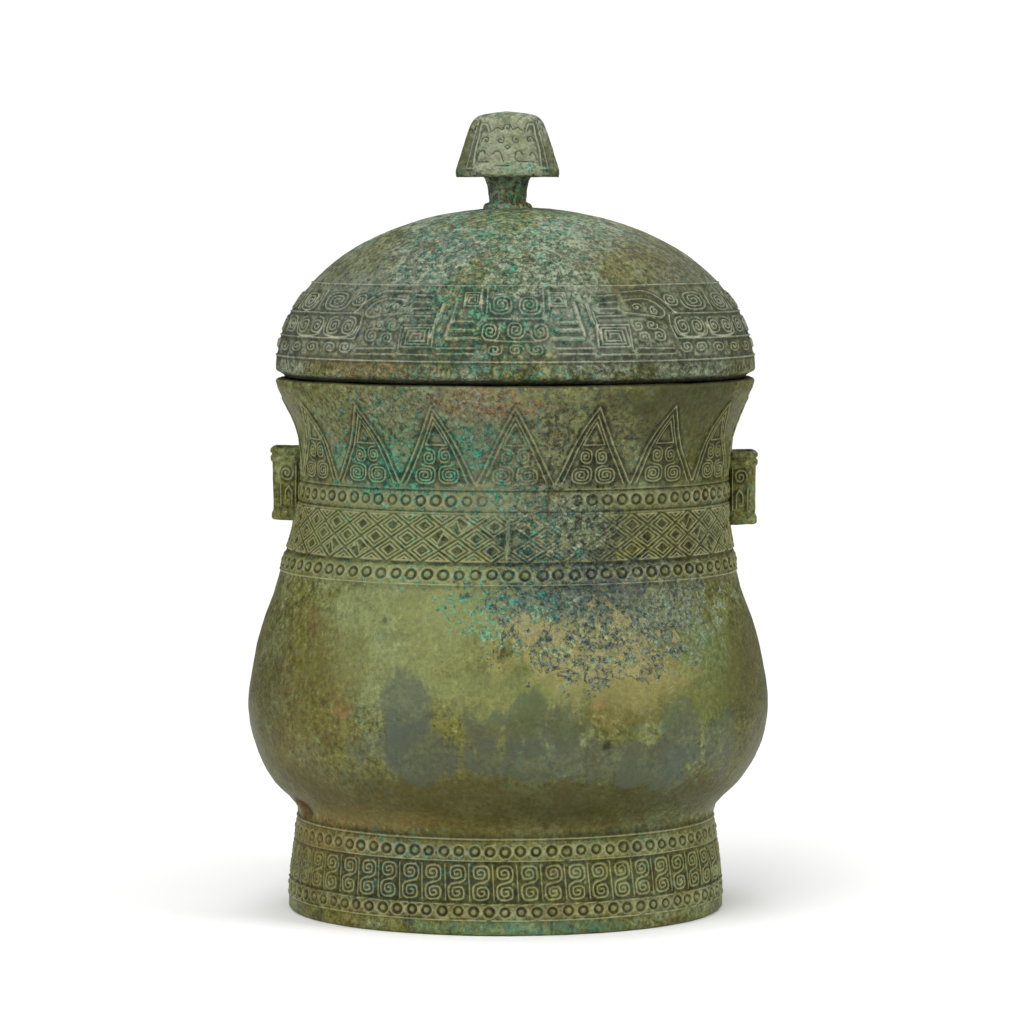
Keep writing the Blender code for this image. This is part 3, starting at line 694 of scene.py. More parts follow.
# The right half of a mask on the lid's band, mirrored on its left: across from the mask's middle, and height
lidMask = dict(
    middle=((0.0, 153.2, 2.3, 2.5, 2.3, 0, -1), (0.0, 148.1, 1.9, 1.4, 1.6, 0, 1)),
    # across, height, half width, half height, turns, start, way
    spirals=((3.7, 159.4, 3.1, 3.0, 2.7, 0, -1), (6.2, 152.8, 2.3, 2.6, 2.3, 180, 1),
             (33.1, 158.6, 1.5, 1.1, 1.3, 0, 1), (38.1, 157.6, 1.4, 1.2, 1.4, 90, 1),
             (32.0, 154.1, 1.5, 1.4, 1.5, 180, 1), (35.9, 154.2, 1.6, 1.4, 1.5, 0, -1),
             (32.9, 151.0, 1.6, 1.5, 1.6, 0, 1), (37.5, 151.4, 1.9, 1.7, 1.8, 90, -1),
             (44.9, 160.3, 2.4, 2.0, 2.0, 0, -1), (53.4, 160.0, 5.0, 3.0, 2.9, 180, 1),
             (66.0, 159.6, 4.6, 3.0, 2.9, 180, 1), (78.6, 159.6, 4.8, 3.0, 2.9, 0, -1),
             (45.4, 153.7, 2.4, 2.5, 2.3, 90, 1), (50.6, 153.6, 2.5, 2.5, 2.3, 90, -1),
             (57.0, 153.5, 2.5, 2.3, 2.2, 90, 1), (62.6, 153.5, 2.6, 2.3, 2.2, 90, -1),
             (70.6, 153.4, 3.2, 2.3, 2.3, 90, 1), (79.0, 153.4, 3.6, 2.3, 2.3, 90, -1),
             (5.2, 148.3, 1.9, 1.4, 1.6, 180, 1), (45.0, 148.5, 2.0, 1.5, 1.7, 180, 1),
             (50.0, 148.3, 2.0, 1.4, 1.6, 0, 1), (56.6, 148.2, 2.2, 1.4, 1.6, 180, -1),
             (63.6, 148.2, 2.4, 1.4, 1.6, 0, -1), (71.4, 148.2, 2.6, 1.4, 1.6, 180, 1),
             (79.6, 148.2, 2.8, 1.4, 1.6, 0, 1)),
    squares=((25.0, 151.4, 4.4, 3.1, 4), (11.6, 160.6, 2.1, 2.2, 3)),
    bars=(((15.6, 160.0), (16.1, 156.4), (17.3, 151.6)), ((19.1, 159.4), (20.0, 154.6)),
          ((10.8, 155.0), (15.6, 155.0)), ((10.5, 153.0), (15.9, 153.1)), ((9.2, 151.0), (17.0, 150.9))),
    lines=(((7.7, 163.0), (7.3, 157.2)), ((9.1, 163.0), (8.8, 157.8)), ((22.6, 161.4), (28.0, 161.6)),
           ((22.8, 159.8), (27.6, 159.9)), ((22.8, 158.3), (27.2, 158.3)), ((21.4, 156.4), (29.2, 156.6)),
           ((10.2, 148.6), (19.4, 148.5)), ((10.2, 147.2), (19.4, 147.1)), ((21.0, 146.9), (29.4, 146.9)),
           ((31.0, 148.4), (41.2, 148.2)), ((31.0, 146.9), (41.6, 146.8)), ((20.4, 157.4), (21.4, 151.0)),
           ((43.4, 156.8), (84.0, 156.6)), ((42.8, 150.6), (84.0, 150.4)), ((60.0, 162.2), (59.6, 157.6)),
           ((72.4, 162.4), (72.2, 157.4)), ((1.0, 155.9), (6.8, 155.9)), ((5.0, 150.4), (0.0, 150.2))),
    curves=(((30.2, 160.2), (35.2, 160.6), (39.2, 159.4), (41.2, 157.2), (39.4, 156.0), (33.4, 156.8),
             (29.4, 157.2)),
            ((29.6, 162.3), (36.6, 162.5), (41.2, 160.6), (44.0, 157.6), (45.0, 156.9)),
            ((42.0, 156.4), (41.6, 153.6), (42.6, 150.4)),
            ((42.4, 153.6), (43.2, 151.6), (48.0, 150.9), (53.2, 151.6), (54.0, 154.0)),
            ((54.4, 153.6), (55.2, 151.5), (60.0, 150.9), (65.4, 151.5), (66.2, 154.0))))


def layLidMask(sheet, up, centre):
    height = lidForm["height"]
    foot = lidForm["thread"]

    def at(side, across, level):
        return centre + side * across + jitter() * 0.10, up(level + jitter() * 0.08)

    for across, level, wide, tall, turns, start, way in lidMask["middle"]:
        x, y = at(1, across, level)
        sheet.thread(spiral(x, y, wide, tall, turns, start, way, 0.4), height, foot)
    for side in (-1, 1):
        for across, level, wide, tall, turns, start, way in lidMask["spirals"]:
            x, y = at(side, across, level)
            turned = start if side > 0 else 180 - start
            sheet.thread(spiral(x, y, wide, tall, turns, turned, way * side, 0.45), height, foot)
        for across, level, wide, tall, count in lidMask["squares"]:
            x, y = at(side, across, level)
            path = [(x + side * wide, y - tall)]
            for index in range(count):
                size = 1 - index / count
                step = 1 - (index + 0.5) / count
                path += [(x + side * wide * size, y + tall * size), (x - side * wide * size, y + tall * size),
                         (x - side * wide * size, y - tall * step), (x + side * wide * step, y - tall * step)]
            sheet.thread(path[:count * 4], height, foot * 0.9, keepCorners=True)
        for path in lidMask["bars"]:
            sheet.thread([at(side, *point) for point in path], height * 1.5, foot * 1.9, keepCorners=True)
        for path in lidMask["lines"]:
            sheet.thread([at(side, *point) for point in path], height * 0.9, foot * 0.95, keepCorners=True)
        for path in lidMask["curves"]:
            spots = [at(side, *point) for point in path]
            places = np.linspace(0, len(path) - 1, 6 * len(path))
            rise = smoothCurve([(index, spot[1]) for index, spot in enumerate(spots)])
            run = smoothCurve([(index, spot[0]) for index, spot in enumerate(spots)])
            sheet.thread(np.stack([run(places), rise(places)], axis=1), height, foot * 1.1)


lidWear = dict(
    places=((-30, 155, 14, 9, 0.45), (10, 148, 20, 5, 0.25)),
    patchiness=0.5, overall=0.04, scale=(0.08, 0.08, 0.10), shift=(0, 5, 0), range=(0.15, 1.15))


def makeLid():
    random.seed(lidForm["seed"])
    rows, outStart = lidStations()
    # the sheet is as long as the dome is round at the middle of its band
    middle = math.sqrt(1 - (lidForm["girthRise"] / lidForm["rise"]) ** 2)
    girth = vesselForm["mouthWidth"] / 2 * middle * ovalLength
    skin = Skin(rows, girth, ovalTable)
    sheet = ReliefSheet(girth)

    def up(height):
        return float(np.interp(height, skin.stations[outStart:, 0], skin.along[outStart:]))

    for face in (0.75, 0.25):
        layLidMask(sheet, up, girth * face)
    for height in (lidForm["bandLow"] - 0.4, lidForm["bandHigh"] + 0.5):
        sheet.band(up(height), 0.30, 0.4, 200, 1.7)
    for along, count in ((skin.along[0], 16), (skin.along[-1], 16)):
        sheet.level(along, count)
    for index in range(10, outStart + 2):
        sheet.level(skin.along[index], 160)
    sheet.fill(skin.along[0], skin.along[10], 3.6)
    low, high, top = lidForm["bandLow"], lidForm["bandHigh"], lidForm["plainTop"]
    for start, end, spacing in ((lidLevel + 2.1, low, 1.5), (low, high, 1.1), (high, top, 1.7)):
        sheet.fill(up(start), up(end), spacing)
    platform = np.array([(up(height), lift, tone) for height, lift, tone in lidForm["steps"]]).T
    # painted shade over the lid's underside and collar
    shadedHollow = np.ones(len(skin.along))
    shadedHollow[outStart - 2:] = 0
    return wrapSheet("lidCasting", sheet, skin, lidForm["rough"], platform, lidWear, shadedHollow=shadedHollow)


# The lugs: upright tubes on the left and right of the neck

lugForm = dict(
    height=18.9, depth=13.0, proud=7.4, round=3.0, wall=1.4, boreWidth=5.2, boreDepth=8.0, drop=28.2,
    # the last value on the next line is painted shade inside the bore
    step=0.55, rough=0.16, boreShade=0.8,
    # share of the height, and how far the outline stands out there
    outline=((0, -0.6), (0.01, -0.25), (0.03, 0), (0.10, 0), (0.13, -0.35), (0.16, -0.45), (0.5, -0.45),
             (0.79, -0.45), (0.81, -0.3), (0.83, 0), (0.88, 0.05), (0.90, -0.35), (0.92, -0.35), (0.94, 0.05),
             (0.975, 0.05), (0.99, -0.25), (1, -0.6)),
    # each line's height, foot and points: sideways, and share of the height
    lines=((0.36, 0.42, ((-1.6, 0.24), (-1.7, 0.40), (-0.6, 0.48), (0.6, 0.42), (0.7, 0.30))),
           (0.34, 0.40, ((2.3, 0.22), (2.4, 0.50))), (0.30, 0.40, ((-2.9, 0.20), (-3.0, 0.76)))))


def makeLug(side, name):
    form = lugForm
    random.seed(21 + side)
    middle = rimLevel - form["drop"] - side * form["step"]
    root = vesselForm["neckWidth"] / 2 - vesselForm["wall"] / 2
    reach = (form["proud"] + vesselForm["wall"] / 2) / 2
    centre = float(leanAt(middle)) + side * (root + reach)
    boreCentre = centre + side * (reach - form["wall"] - form["boreWidth"] / 2)
    rows = []
    for share, lip in form["outline"]:
        height = middle + (share - 0.5) * form["height"]
        rows.append((height, reach + lip, form["depth"] / 2 + lip, centre))
    outEnd = len(rows)
    for share, flare in ((1, 0.25), (0.985, 0), (0.75, 0), (0.5, 0), (0.25, 0), (0.015, 0), (0, 0.25)):
        height = middle + (share - 0.5) * form["height"]
        rows.append((height, form["boreWidth"] / 2 + flare, form["boreDepth"] / 2 + flare, boreCentre))
    rows.append(rows[0])
    girth = 2 * (2 * reach + form["depth"]) - 8 * form["round"] + 2 * math.pi * form["round"]
    skin = Skin(rows, girth, oblongOutline(reach, form["depth"] / 2, form["round"]))
    sheet = ReliefSheet(girth)

    def up(share):
        return float(np.interp(share, [part for part, _ in form["outline"]], skin.along[:outEnd]))

    for face, way in ((0.75, side), (0.25, -side)):
        x = girth * face
        sheet.thread(spiral(x - 0.2, up(0.66), 2.3, 1.9, 1.6, 0, way, 0.2), 0.36, 0.42, step=0.5)
        for height, foot, path in form["lines"]:
            sheet.thread([(x + across * way, up(share)) for across, share in path], height, foot, step=0.5)
    for index in range(len(skin.along)):
        sheet.level(skin.along[index], 44)
    sheet.fill(up(0.16), up(0.79), 0.9)
    # painted shade inside the bore, none on the outside
    shadedHollow = np.full(len(skin.along), form["boreShade"])
    shadedHollow[:outEnd + 1] = 0
    return wrapSheet(name, sheet, skin, form["rough"], capped=False, shadedHollow=shadedHollow)


# The knob and its stem

knobForm = dict(
    width=26.8, depth=20.0, tall=16.4, cut=4.2, shift=-2.0, girth=84.0, rough=0.12,
    side=((0.0, 0.985), (0.05, 1.0), (0.21, 0.945), (0.47, 0.85), (0.72, 0.745), (0.864, 0.665), (0.94, 0.56),
          (0.98, 0.40), (1.0, 0.20)),
    # sideways, share of the height, start and way
    curls=((-6.0, 0.555, 200, -1), (-2.0, 0.56, 60, -1), (2.4, 0.56, 120, 1), (6.2, 0.56, -20, 1),
           (0.0, 0.755, 200, -1)),
    frame=((7.6, 0.11), (10.0, 0.11), (9.9, 0.45), (10.0, 0.84)),
    inner=((8.0, 0.17), (8.3, 0.42), (8.0, 0.62), (8.4, 0.80), (6.6, 0.80), (5.4, 0.68)),
    brow=((-4.6, 0.70), (-3.2, 0.76), (-1.6, 0.72), (-0.8, 0.80), (0.8, 0.80), (1.6, 0.72), (3.2, 0.76),
          (4.6, 0.70)),
    lozenge=((-0.7, 0.45), (0, 0.48), (0.7, 0.45), (0, 0.42)),
    hooks=(((-5.6, 0.34), (-6.2, 0.40), (-7.2, 0.37), (-7.6, 0.28), (-7.4, 0.215), (-4.6, 0.215)),
           ((-3.8, 0.34), (-3.2, 0.385), (-2.0, 0.38), (-1.4, 0.30), (-1.0, 0.22)),
           ((-3.0, 0.155), (0.2, 0.155)),
           ((3.8, 0.33), (3.2, 0.39), (2.2, 0.38), (1.8, 0.28), (2.4, 0.225), (6.4, 0.215)),
           ((5.6, 0.32), (6.2, 0.37), (7.0, 0.33), (7.0, 0.26))))


def knobOutline():
    width, depth, cut = knobForm["width"] / 2, knobForm["depth"] / 2, knobForm["cut"]
    corners = [(width, 0), (width, depth - cut), (width - cut, depth), (cut - width, depth),
               (-width, depth - cut), (-width, cut - depth), (cut - width, -depth), (width - cut, -depth),
               (width, cut - depth)]
    rounded = [corners[0]]
    for index in range(1, len(corners)):
        before, corner = np.array(corners[index - 1]), np.array(corners[index])
        after = np.array(corners[(index + 1) % len(corners)])
        start = corner + (before - corner) / np.linalg.norm(before - corner) * 0.9
        end = corner + (after - corner) / np.linalg.norm(after - corner) * 0.9
        for share in (0, 0.25, 0.5, 0.75, 1):
            rounded.append(tuple(mix(mix(start, corner, share), mix(corner, end, share), share)))
    return closedOutline([(x / width, y / depth) for x, y in rounded])


def makeKnob(centre, base):
    random.seed(8)
    form = knobForm
    side = smoothCurve(form["side"])
    rows = []
    for share in (0.05, 0.5, 0.9):
        rows.append((base + 0.5, form["width"] / 2 * share, form["depth"] / 2 * share, centre))
    for share in np.linspace(0, 1, 34):
        size = float(side(share))
        rows.append((base + form["tall"] * share - (0.35 if share == 0 else 0), form["width"] / 2 * size,
                     form["depth"] / 2 * (0.25 + 0.75 * size), centre))
    top = rows[-1]
    for share in (0.7, 0.1):
        rows.append((top[0] + 0.25, top[1] * share, top[2] * share, centre))
    girth = form["girth"]
    skin = Skin(rows, girth, knobOutline())
    sheet = ReliefSheet(girth)

    def up(share):
        return float(np.interp(base + form["tall"] * share, skin.stations[3:-2, 0], skin.along[3:-2]))

    def cut(path, height, foot, sign=1, **settings):
        sheet.thread([(x + sign * across, up(share)) for across, share in path], height, foot, **settings)

    for face in (0.75, 0.25):
        x = girth * face
        for sign in (-1, 1):
            cut(form["frame"], 0.36, 0.36, sign, keepCorners=True)
            cut(form["inner"], 0.36, 0.36, sign)
        for spot, share, start, way in form["curls"]:
            sheet.thread(spiral(x + spot, up(share), 1.15, 1.1, 1.15, start, way, 0.3), -0.34, 0.34,
                         step=0.45)
        for path in form["hooks"]:
            cut(path, -0.36, 0.34, step=0.5)
        cut(form["brow"], -0.34, 0.32, step=0.5)
        cut(form["lozenge"], -0.3, 0.3, closed=True, keepCorners=True, step=0.5)
    for index in (0, len(skin.along) - 1):
        sheet.level(skin.along[index], 12)
    for index in (1, 2, 3, 4):
        sheet.level(skin.along[index], 90)
    sheet.level(skin.along[-3], 60)
    sheet.fill(skin.along[4], skin.along[-3], 1.1)
    return wrapSheet("knobCap", sheet, skin, form["rough"])


stemForm = dict(
    knobLevel=8.1, sides=48,
    # height over the dome, and radius
    outline=((-2.2, 6.9), (0.3, 6.4), (0.9, 6.0), (1.1, 5.1), (1.5, 4.8), (2.6, 4.85), (3.8, 5.0),
             (5.0, 5.25),
             (6.2, 5.5), (7.2, 5.8), (8.0, 6.4), (8.9, 7.8)))


def makeStem(centre, base):
    # turned from a circle, spread at both ends
    level, size = stemForm["outline"][0]
    bpy.ops.mesh.primitive_circle_add(vertices=stemForm["sides"], radius=size * mm, fill_type="NGON",
                                      location=(centre * mm, 0, (base + level) * mm))
    stem = bpy.context.object
    stem.name = "lidStem"
    bpy.ops.object.mode_set(mode="EDIT")
    bpy.ops.mesh.select_all(action="SELECT")
    for height, radius in stemForm["outline"][1:]:
        bpy.ops.mesh.extrude_region_move(TRANSFORM_OT_translate={"value": (0, 0, (height - level) * mm)})
        share = radius / size
        bpy.ops.transform.resize(value=(share, share, 1), center_override=(centre * mm, 0, 0))
        level, size = height, radius
    bpy.ops.mesh.select_all(action="SELECT")
    bpy.ops.mesh.normals_make_consistent(inside=False)
    bpy.ops.object.mode_set(mode="OBJECT")
    bpy.ops.object.transform_apply(location=True, rotation=True, scale=True)
    finer = stem.modifiers.new("finer", "SUBSURF")
    finer.levels = 1
    finer.render_levels = 1
    bpy.ops.object.modifier_apply(modifier="finer")
    for corner in stem.data.vertices:
        spot = corner.co * 1000
        push = 0.45 * noise.noise(spot * 0.22) + 0.16 * noise.noise(spot * 0.8)
        corner.co += corner.normal * push * mm
    stem.data.shade_smooth()
    return stem


# Materials

def addNode(tree, kind, values=None, **settings):
    node = tree.nodes.new(kind)
    for name, value in settings.items():
        setattr(node, name, value)
    for socket, source in (values or {}).items():
        if isinstance(source, bpy.types.NodeSocket):
            tree.links.new(source, node.inputs[socket])
        else:
            node.inputs[socket].default_value = source
    return node


def mixColours(tree, amount, first, second, mode="MIX"):
    node = addNode(tree, "ShaderNodeMix", {0: amount, 6: first, 7: second}, data_type="RGBA", blend_type=mode)
    return node.outputs[2]


def mixValues(tree, amount, first, second):
    return addNode(tree, "ShaderNodeMix", {0: amount, 2: first, 3: second}, data_type="FLOAT").outputs[0]


def noiseAt(tree, vector, scale, detail=4.0, roughness=0.6, distortion=0.0):
    node = addNode(tree, "ShaderNodeTexNoise", {"Vector": vector, "Scale": scale, "Detail": detail,
                                                "Roughness": roughness, "Distortion": distortion})
    return node.outputs["Fac"]


def between(tree, value, low, high, start=0.0, end=1.0):
    node = addNode(tree, "ShaderNodeMapRange", {0: value, 1: low, 2: high, 3: start, 4: end},
                   interpolation_type="SMOOTHSTEP")
    return node.outputs[0]


def compute(tree, operation, first, *others):
    # a chain of one operation over two or more values
    for other in others:
        first = addNode(tree, "ShaderNodeMath", {0: first, 1: other}, operation=operation).outputs[0]
    return first


def swing(tree, field, strength):
    # how far a field stands from its middle, times a strength
    return compute(tree, "MULTIPLY", compute(tree, "SUBTRACT", field, 0.5), strength)


def greyColour(tree, value):
    return addNode(tree, "ShaderNodeCombineColor", {0: value, 1: value, 2: value}).outputs[0]


def placeGroup(tree, group, values):
    # a node of a group, with its inputs linked or set by name
    node = addNode(tree, "ShaderNodeGroup", node_tree=group)
    for label, value in values.items():
        if isinstance(value, bpy.types.NodeSocket):
            tree.links.new(value, node.inputs[label])
        else:
            node.inputs[label].default_value = value
    return node.outputs


def giveOut(tree, result, values):
    for label, value in values.items():
        tree.links.new(value, result[label])
    return tree


def newGroup(name, inputs, outputs):
    tree = bpy.data.node_groups.new(name, "ShaderNodeTree")
    for label, kind, value in inputs:
        socket = tree.interface.new_socket(label, in_out="INPUT", socket_type=kind)
        if value is not None:
            socket.default_value = value
    for label, kind in outputs:
        tree.interface.new_socket(label, in_out="OUTPUT", socket_type=kind)
    source = tree.nodes.new("NodeGroupInput")
    sink = tree.nodes.new("NodeGroupOutput")
    return tree, source.outputs, sink.inputs


def makePatinaGroup():
    # mottled olive and grey-green bronze with malachite, brown oxide and fine grain
    tree, given, result = newGroup(
        "bronzePatina",
        (("Vector", "NodeSocketVector", None), ("Olive", "NodeSocketColor", (0.15, 0.145, 0.055, 1)),
         ("Grey green", "NodeSocketColor", (0.16, 0.185, 0.12, 1)), ("Greyness", "NodeSocketFloat", 0.5),
         ("Malachite", "NodeSocketFloat", 0.5), ("Brown", "NodeSocketFloat", 0.5),
         ("Mottle", "NodeSocketFloat", 0.5)),
        (("Color", "NodeSocketColor"), ("Roughness", "NodeSocketFloat"), ("Height", "NodeSocketFloat")))
    vector = given["Vector"]
    broad = noiseAt(tree, vector, 42, 4, 0.6, 0.6)
    middle = noiseAt(tree, vector, 230, 3, 0.65, 0.4)
    speck = noiseAt(tree, vector, 800, 2, 0.5)
    grain = noiseAt(tree, vector, 1700, 2, 0.6)
    grey = compute(tree, "ADD", between(tree, broad, 0.35, 0.65),
                   compute(tree, "SUBTRACT", given["Greyness"], 0.5),
                   swing(tree, middle, 1.8))
    grey = between(tree, grey, 0.15, 0.9)
    colour = mixColours(tree, grey, given["Olive"], given["Grey green"])
    shade = compute(tree, "ADD", swing(tree, middle, 1.6), swing(tree, speck, 2.2), swing(tree, grain, 1.6))
    shade = compute(tree, "MULTIPLY", shade, given["Mottle"])
    shade = between(tree, shade, -0.55, 0.55, 0.25, 1.80)
    colour = mixColours(tree, 1.0, colour, greyColour(tree, shade), "MULTIPLY")
    oxide = between(tree, noiseAt(tree, vector, 130, 4, 0.7, 0.8), 0.56, 0.66)
    oxide = compute(tree, "MULTIPLY", oxide, given["Brown"])
    colour = mixColours(tree, oxide, colour, (0.095, 0.055, 0.020, 1))
    green = between(tree, noiseAt(tree, vector, 330, 3, 0.7, 0.5), 0.59, 0.63)
    patches = between(tree, noiseAt(tree, vector, 38, 3, 0.6), 0.40, 0.62)
    green = compute(tree, "MULTIPLY", green, patches, given["Malachite"])
    colour = mixColours(tree, green, colour, (0.065, 0.21, 0.15, 1))
    fleck = compute(tree, "MULTIPLY", between(tree, speck, 0.66, 0.72), given["Mottle"], 0.7)
    colour = mixColours(tree, fleck, colour, (0.34, 0.36, 0.25, 1))
    rough = compute(tree, "ADD", 0.43, compute(tree, "MULTIPLY", grey, 0.14),
                    compute(tree, "MULTIPLY", green, 0.3),
                    swing(tree, speck, 0.5))
    tall = compute(tree, "ADD", compute(tree, "MULTIPLY", speck, 0.9), compute(tree, "MULTIPLY", grain, 0.4),
                   compute(tree, "MULTIPLY", green, 0.8), middle)
    tall = compute(tree, "MULTIPLY", tall, compute(tree, "ADD", 0.4, given["Mottle"]))
    return giveOut(tree, result, {"Color": colour, "Roughness": rough, "Height": tall})


def makeMaskGroup():
    # a ragged patch round one place, broken into islands where its bare share is high
    tree, given, result = newGroup(
        "ragPatch",
        (("Vector", "NodeSocketVector", None), ("Centre", "NodeSocketVector", (0, 0, 0)),
         ("Reach", "NodeSocketVector", (0.01, 0.01, 0.01)), ("Rag", "NodeSocketFloat", 0.5),
         ("Ragged", "NodeSocketFloat", 0.6), ("Soft", "NodeSocketFloat", 0.3),
         ("Bare", "NodeSocketFloat", 0.0)),
        (("Mask", "NodeSocketFloat"),))
    offset = addNode(tree, "ShaderNodeVectorMath", {0: given["Vector"], 1: given["Centre"]},
                     operation="SUBTRACT")
    scaled = addNode(tree, "ShaderNodeVectorMath", {0: offset.outputs[0], 1: given["Reach"]},
                     operation="DIVIDE")
    reach = addNode(tree, "ShaderNodeVectorMath", {0: scaled.outputs[0]}, operation="LENGTH").outputs["Value"]
    rag = compute(tree, "MULTIPLY", swing(tree, given["Rag"], given["Ragged"]), 4.0)
    sharp = compute(tree, "ADD", 1.0, compute(tree, "MULTIPLY", given["Bare"], 3.0))
    total = compute(tree, "ADD", compute(tree, "POWER", reach, sharp), given["Bare"], rag)
    near = between(tree, total, compute(tree, "ADD", 1.0, given["Soft"]),
                   compute(tree, "SUBTRACT", 1.0, given["Soft"]))
    return giveOut(tree, result, {"Mask": near})


def makeWearShadeGroup():
    # worn, lighter crests of the cast relief, patina with painted shade in its grooves, and painted shade
    # over the inner faces of the hollow parts
    tree, given, result = newGroup(
        "reliefWearAndShade",
        (("Color", "NodeSocketColor", (0.1, 0.1, 0.1, 1)), ("Roughness", "NodeSocketFloat", 0.5),
         ("Crest", "NodeSocketColor", (0.30, 0.29, 0.17, 1)),
         ("Groove patina and shade", "NodeSocketColor", (0.03, 0.033, 0.018, 1)),
         ("Vector", "NodeSocketVector", None)),
        (("Color", "NodeSocketColor"), ("Roughness", "NodeSocketFloat"), ("Height", "NodeSocketFloat")))
    relief = addNode(tree, "ShaderNodeAttribute", attribute_name="relief").outputs["Fac"]
    insideShade = addNode(tree, "ShaderNodeAttribute", attribute_name="inside").outputs["Fac"]
    broken = noiseAt(tree, given["Vector"], 420, 2, 0.65)
    crest = compute(tree, "MULTIPLY", between(tree, relief, 0.15, 0.95),
                    between(tree, broken, 0.36, 0.58, 0.50, 1.0))
    # painted shade with darker patina in the grooves
    dark = compute(tree, "MULTIPLY", between(tree, relief, -0.05, -0.75),
                   between(tree, broken, 0.30, 0.62, 1.0, 0.65))
    colour = mixColours(tree, compute(tree, "MULTIPLY", crest, 0.85), given["Color"], given["Crest"])
    colour = mixColours(tree, compute(tree, "MULTIPLY", dark, 0.85), colour, given["Groove patina and shade"])
    # painted shade over the inner faces
    colour = mixColours(tree, compute(tree, "MULTIPLY", insideShade, 0.8), colour, (0.045, 0.042, 0.024, 1))
    rough = mixValues(tree, dark, given["Roughness"], 0.85)
    rough = mixValues(tree, compute(tree, "MULTIPLY", crest, 0.6), rough, 0.42)
    rough = mixValues(tree, insideShade, rough, 0.8)
    tall = compute(tree, "MULTIPLY", crest, 0.3)
    return giveOut(tree, result, {"Color": colour, "Roughness": rough, "Height": tall})


# Shades of the corrosion, shared by the patches below; the dark one also serves as painted shade
shades = dict(
    frost=(0.27, 0.295, 0.185, 1), pale=(0.205, 0.235, 0.090, 1), brown=(0.088, 0.066, 0.012, 1),
    ochre=(0.165, 0.115, 0.030, 1), leaf=(0.080, 0.120, 0.026, 1), dark=(0.038, 0.038, 0.009, 1),
    cloud=(0.066, 0.082, 0.058, 1), slate=(0.052, 0.078, 0.083, 1), ash=(0.195, 0.23, 0.155, 1),
    tan=(0.330, 0.295, 0.110, 1), teal=(0.048, 0.225, 0.158, 1), vivid=(0.022, 0.225, 0.130, 1),
    rust=(0.115, 0.048, 0.020, 1), orange=(0.24, 0.125, 0.05, 1), silver=(0.23, 0.25, 0.185, 1),
    olive=(0.088, 0.092, 0.030, 1))

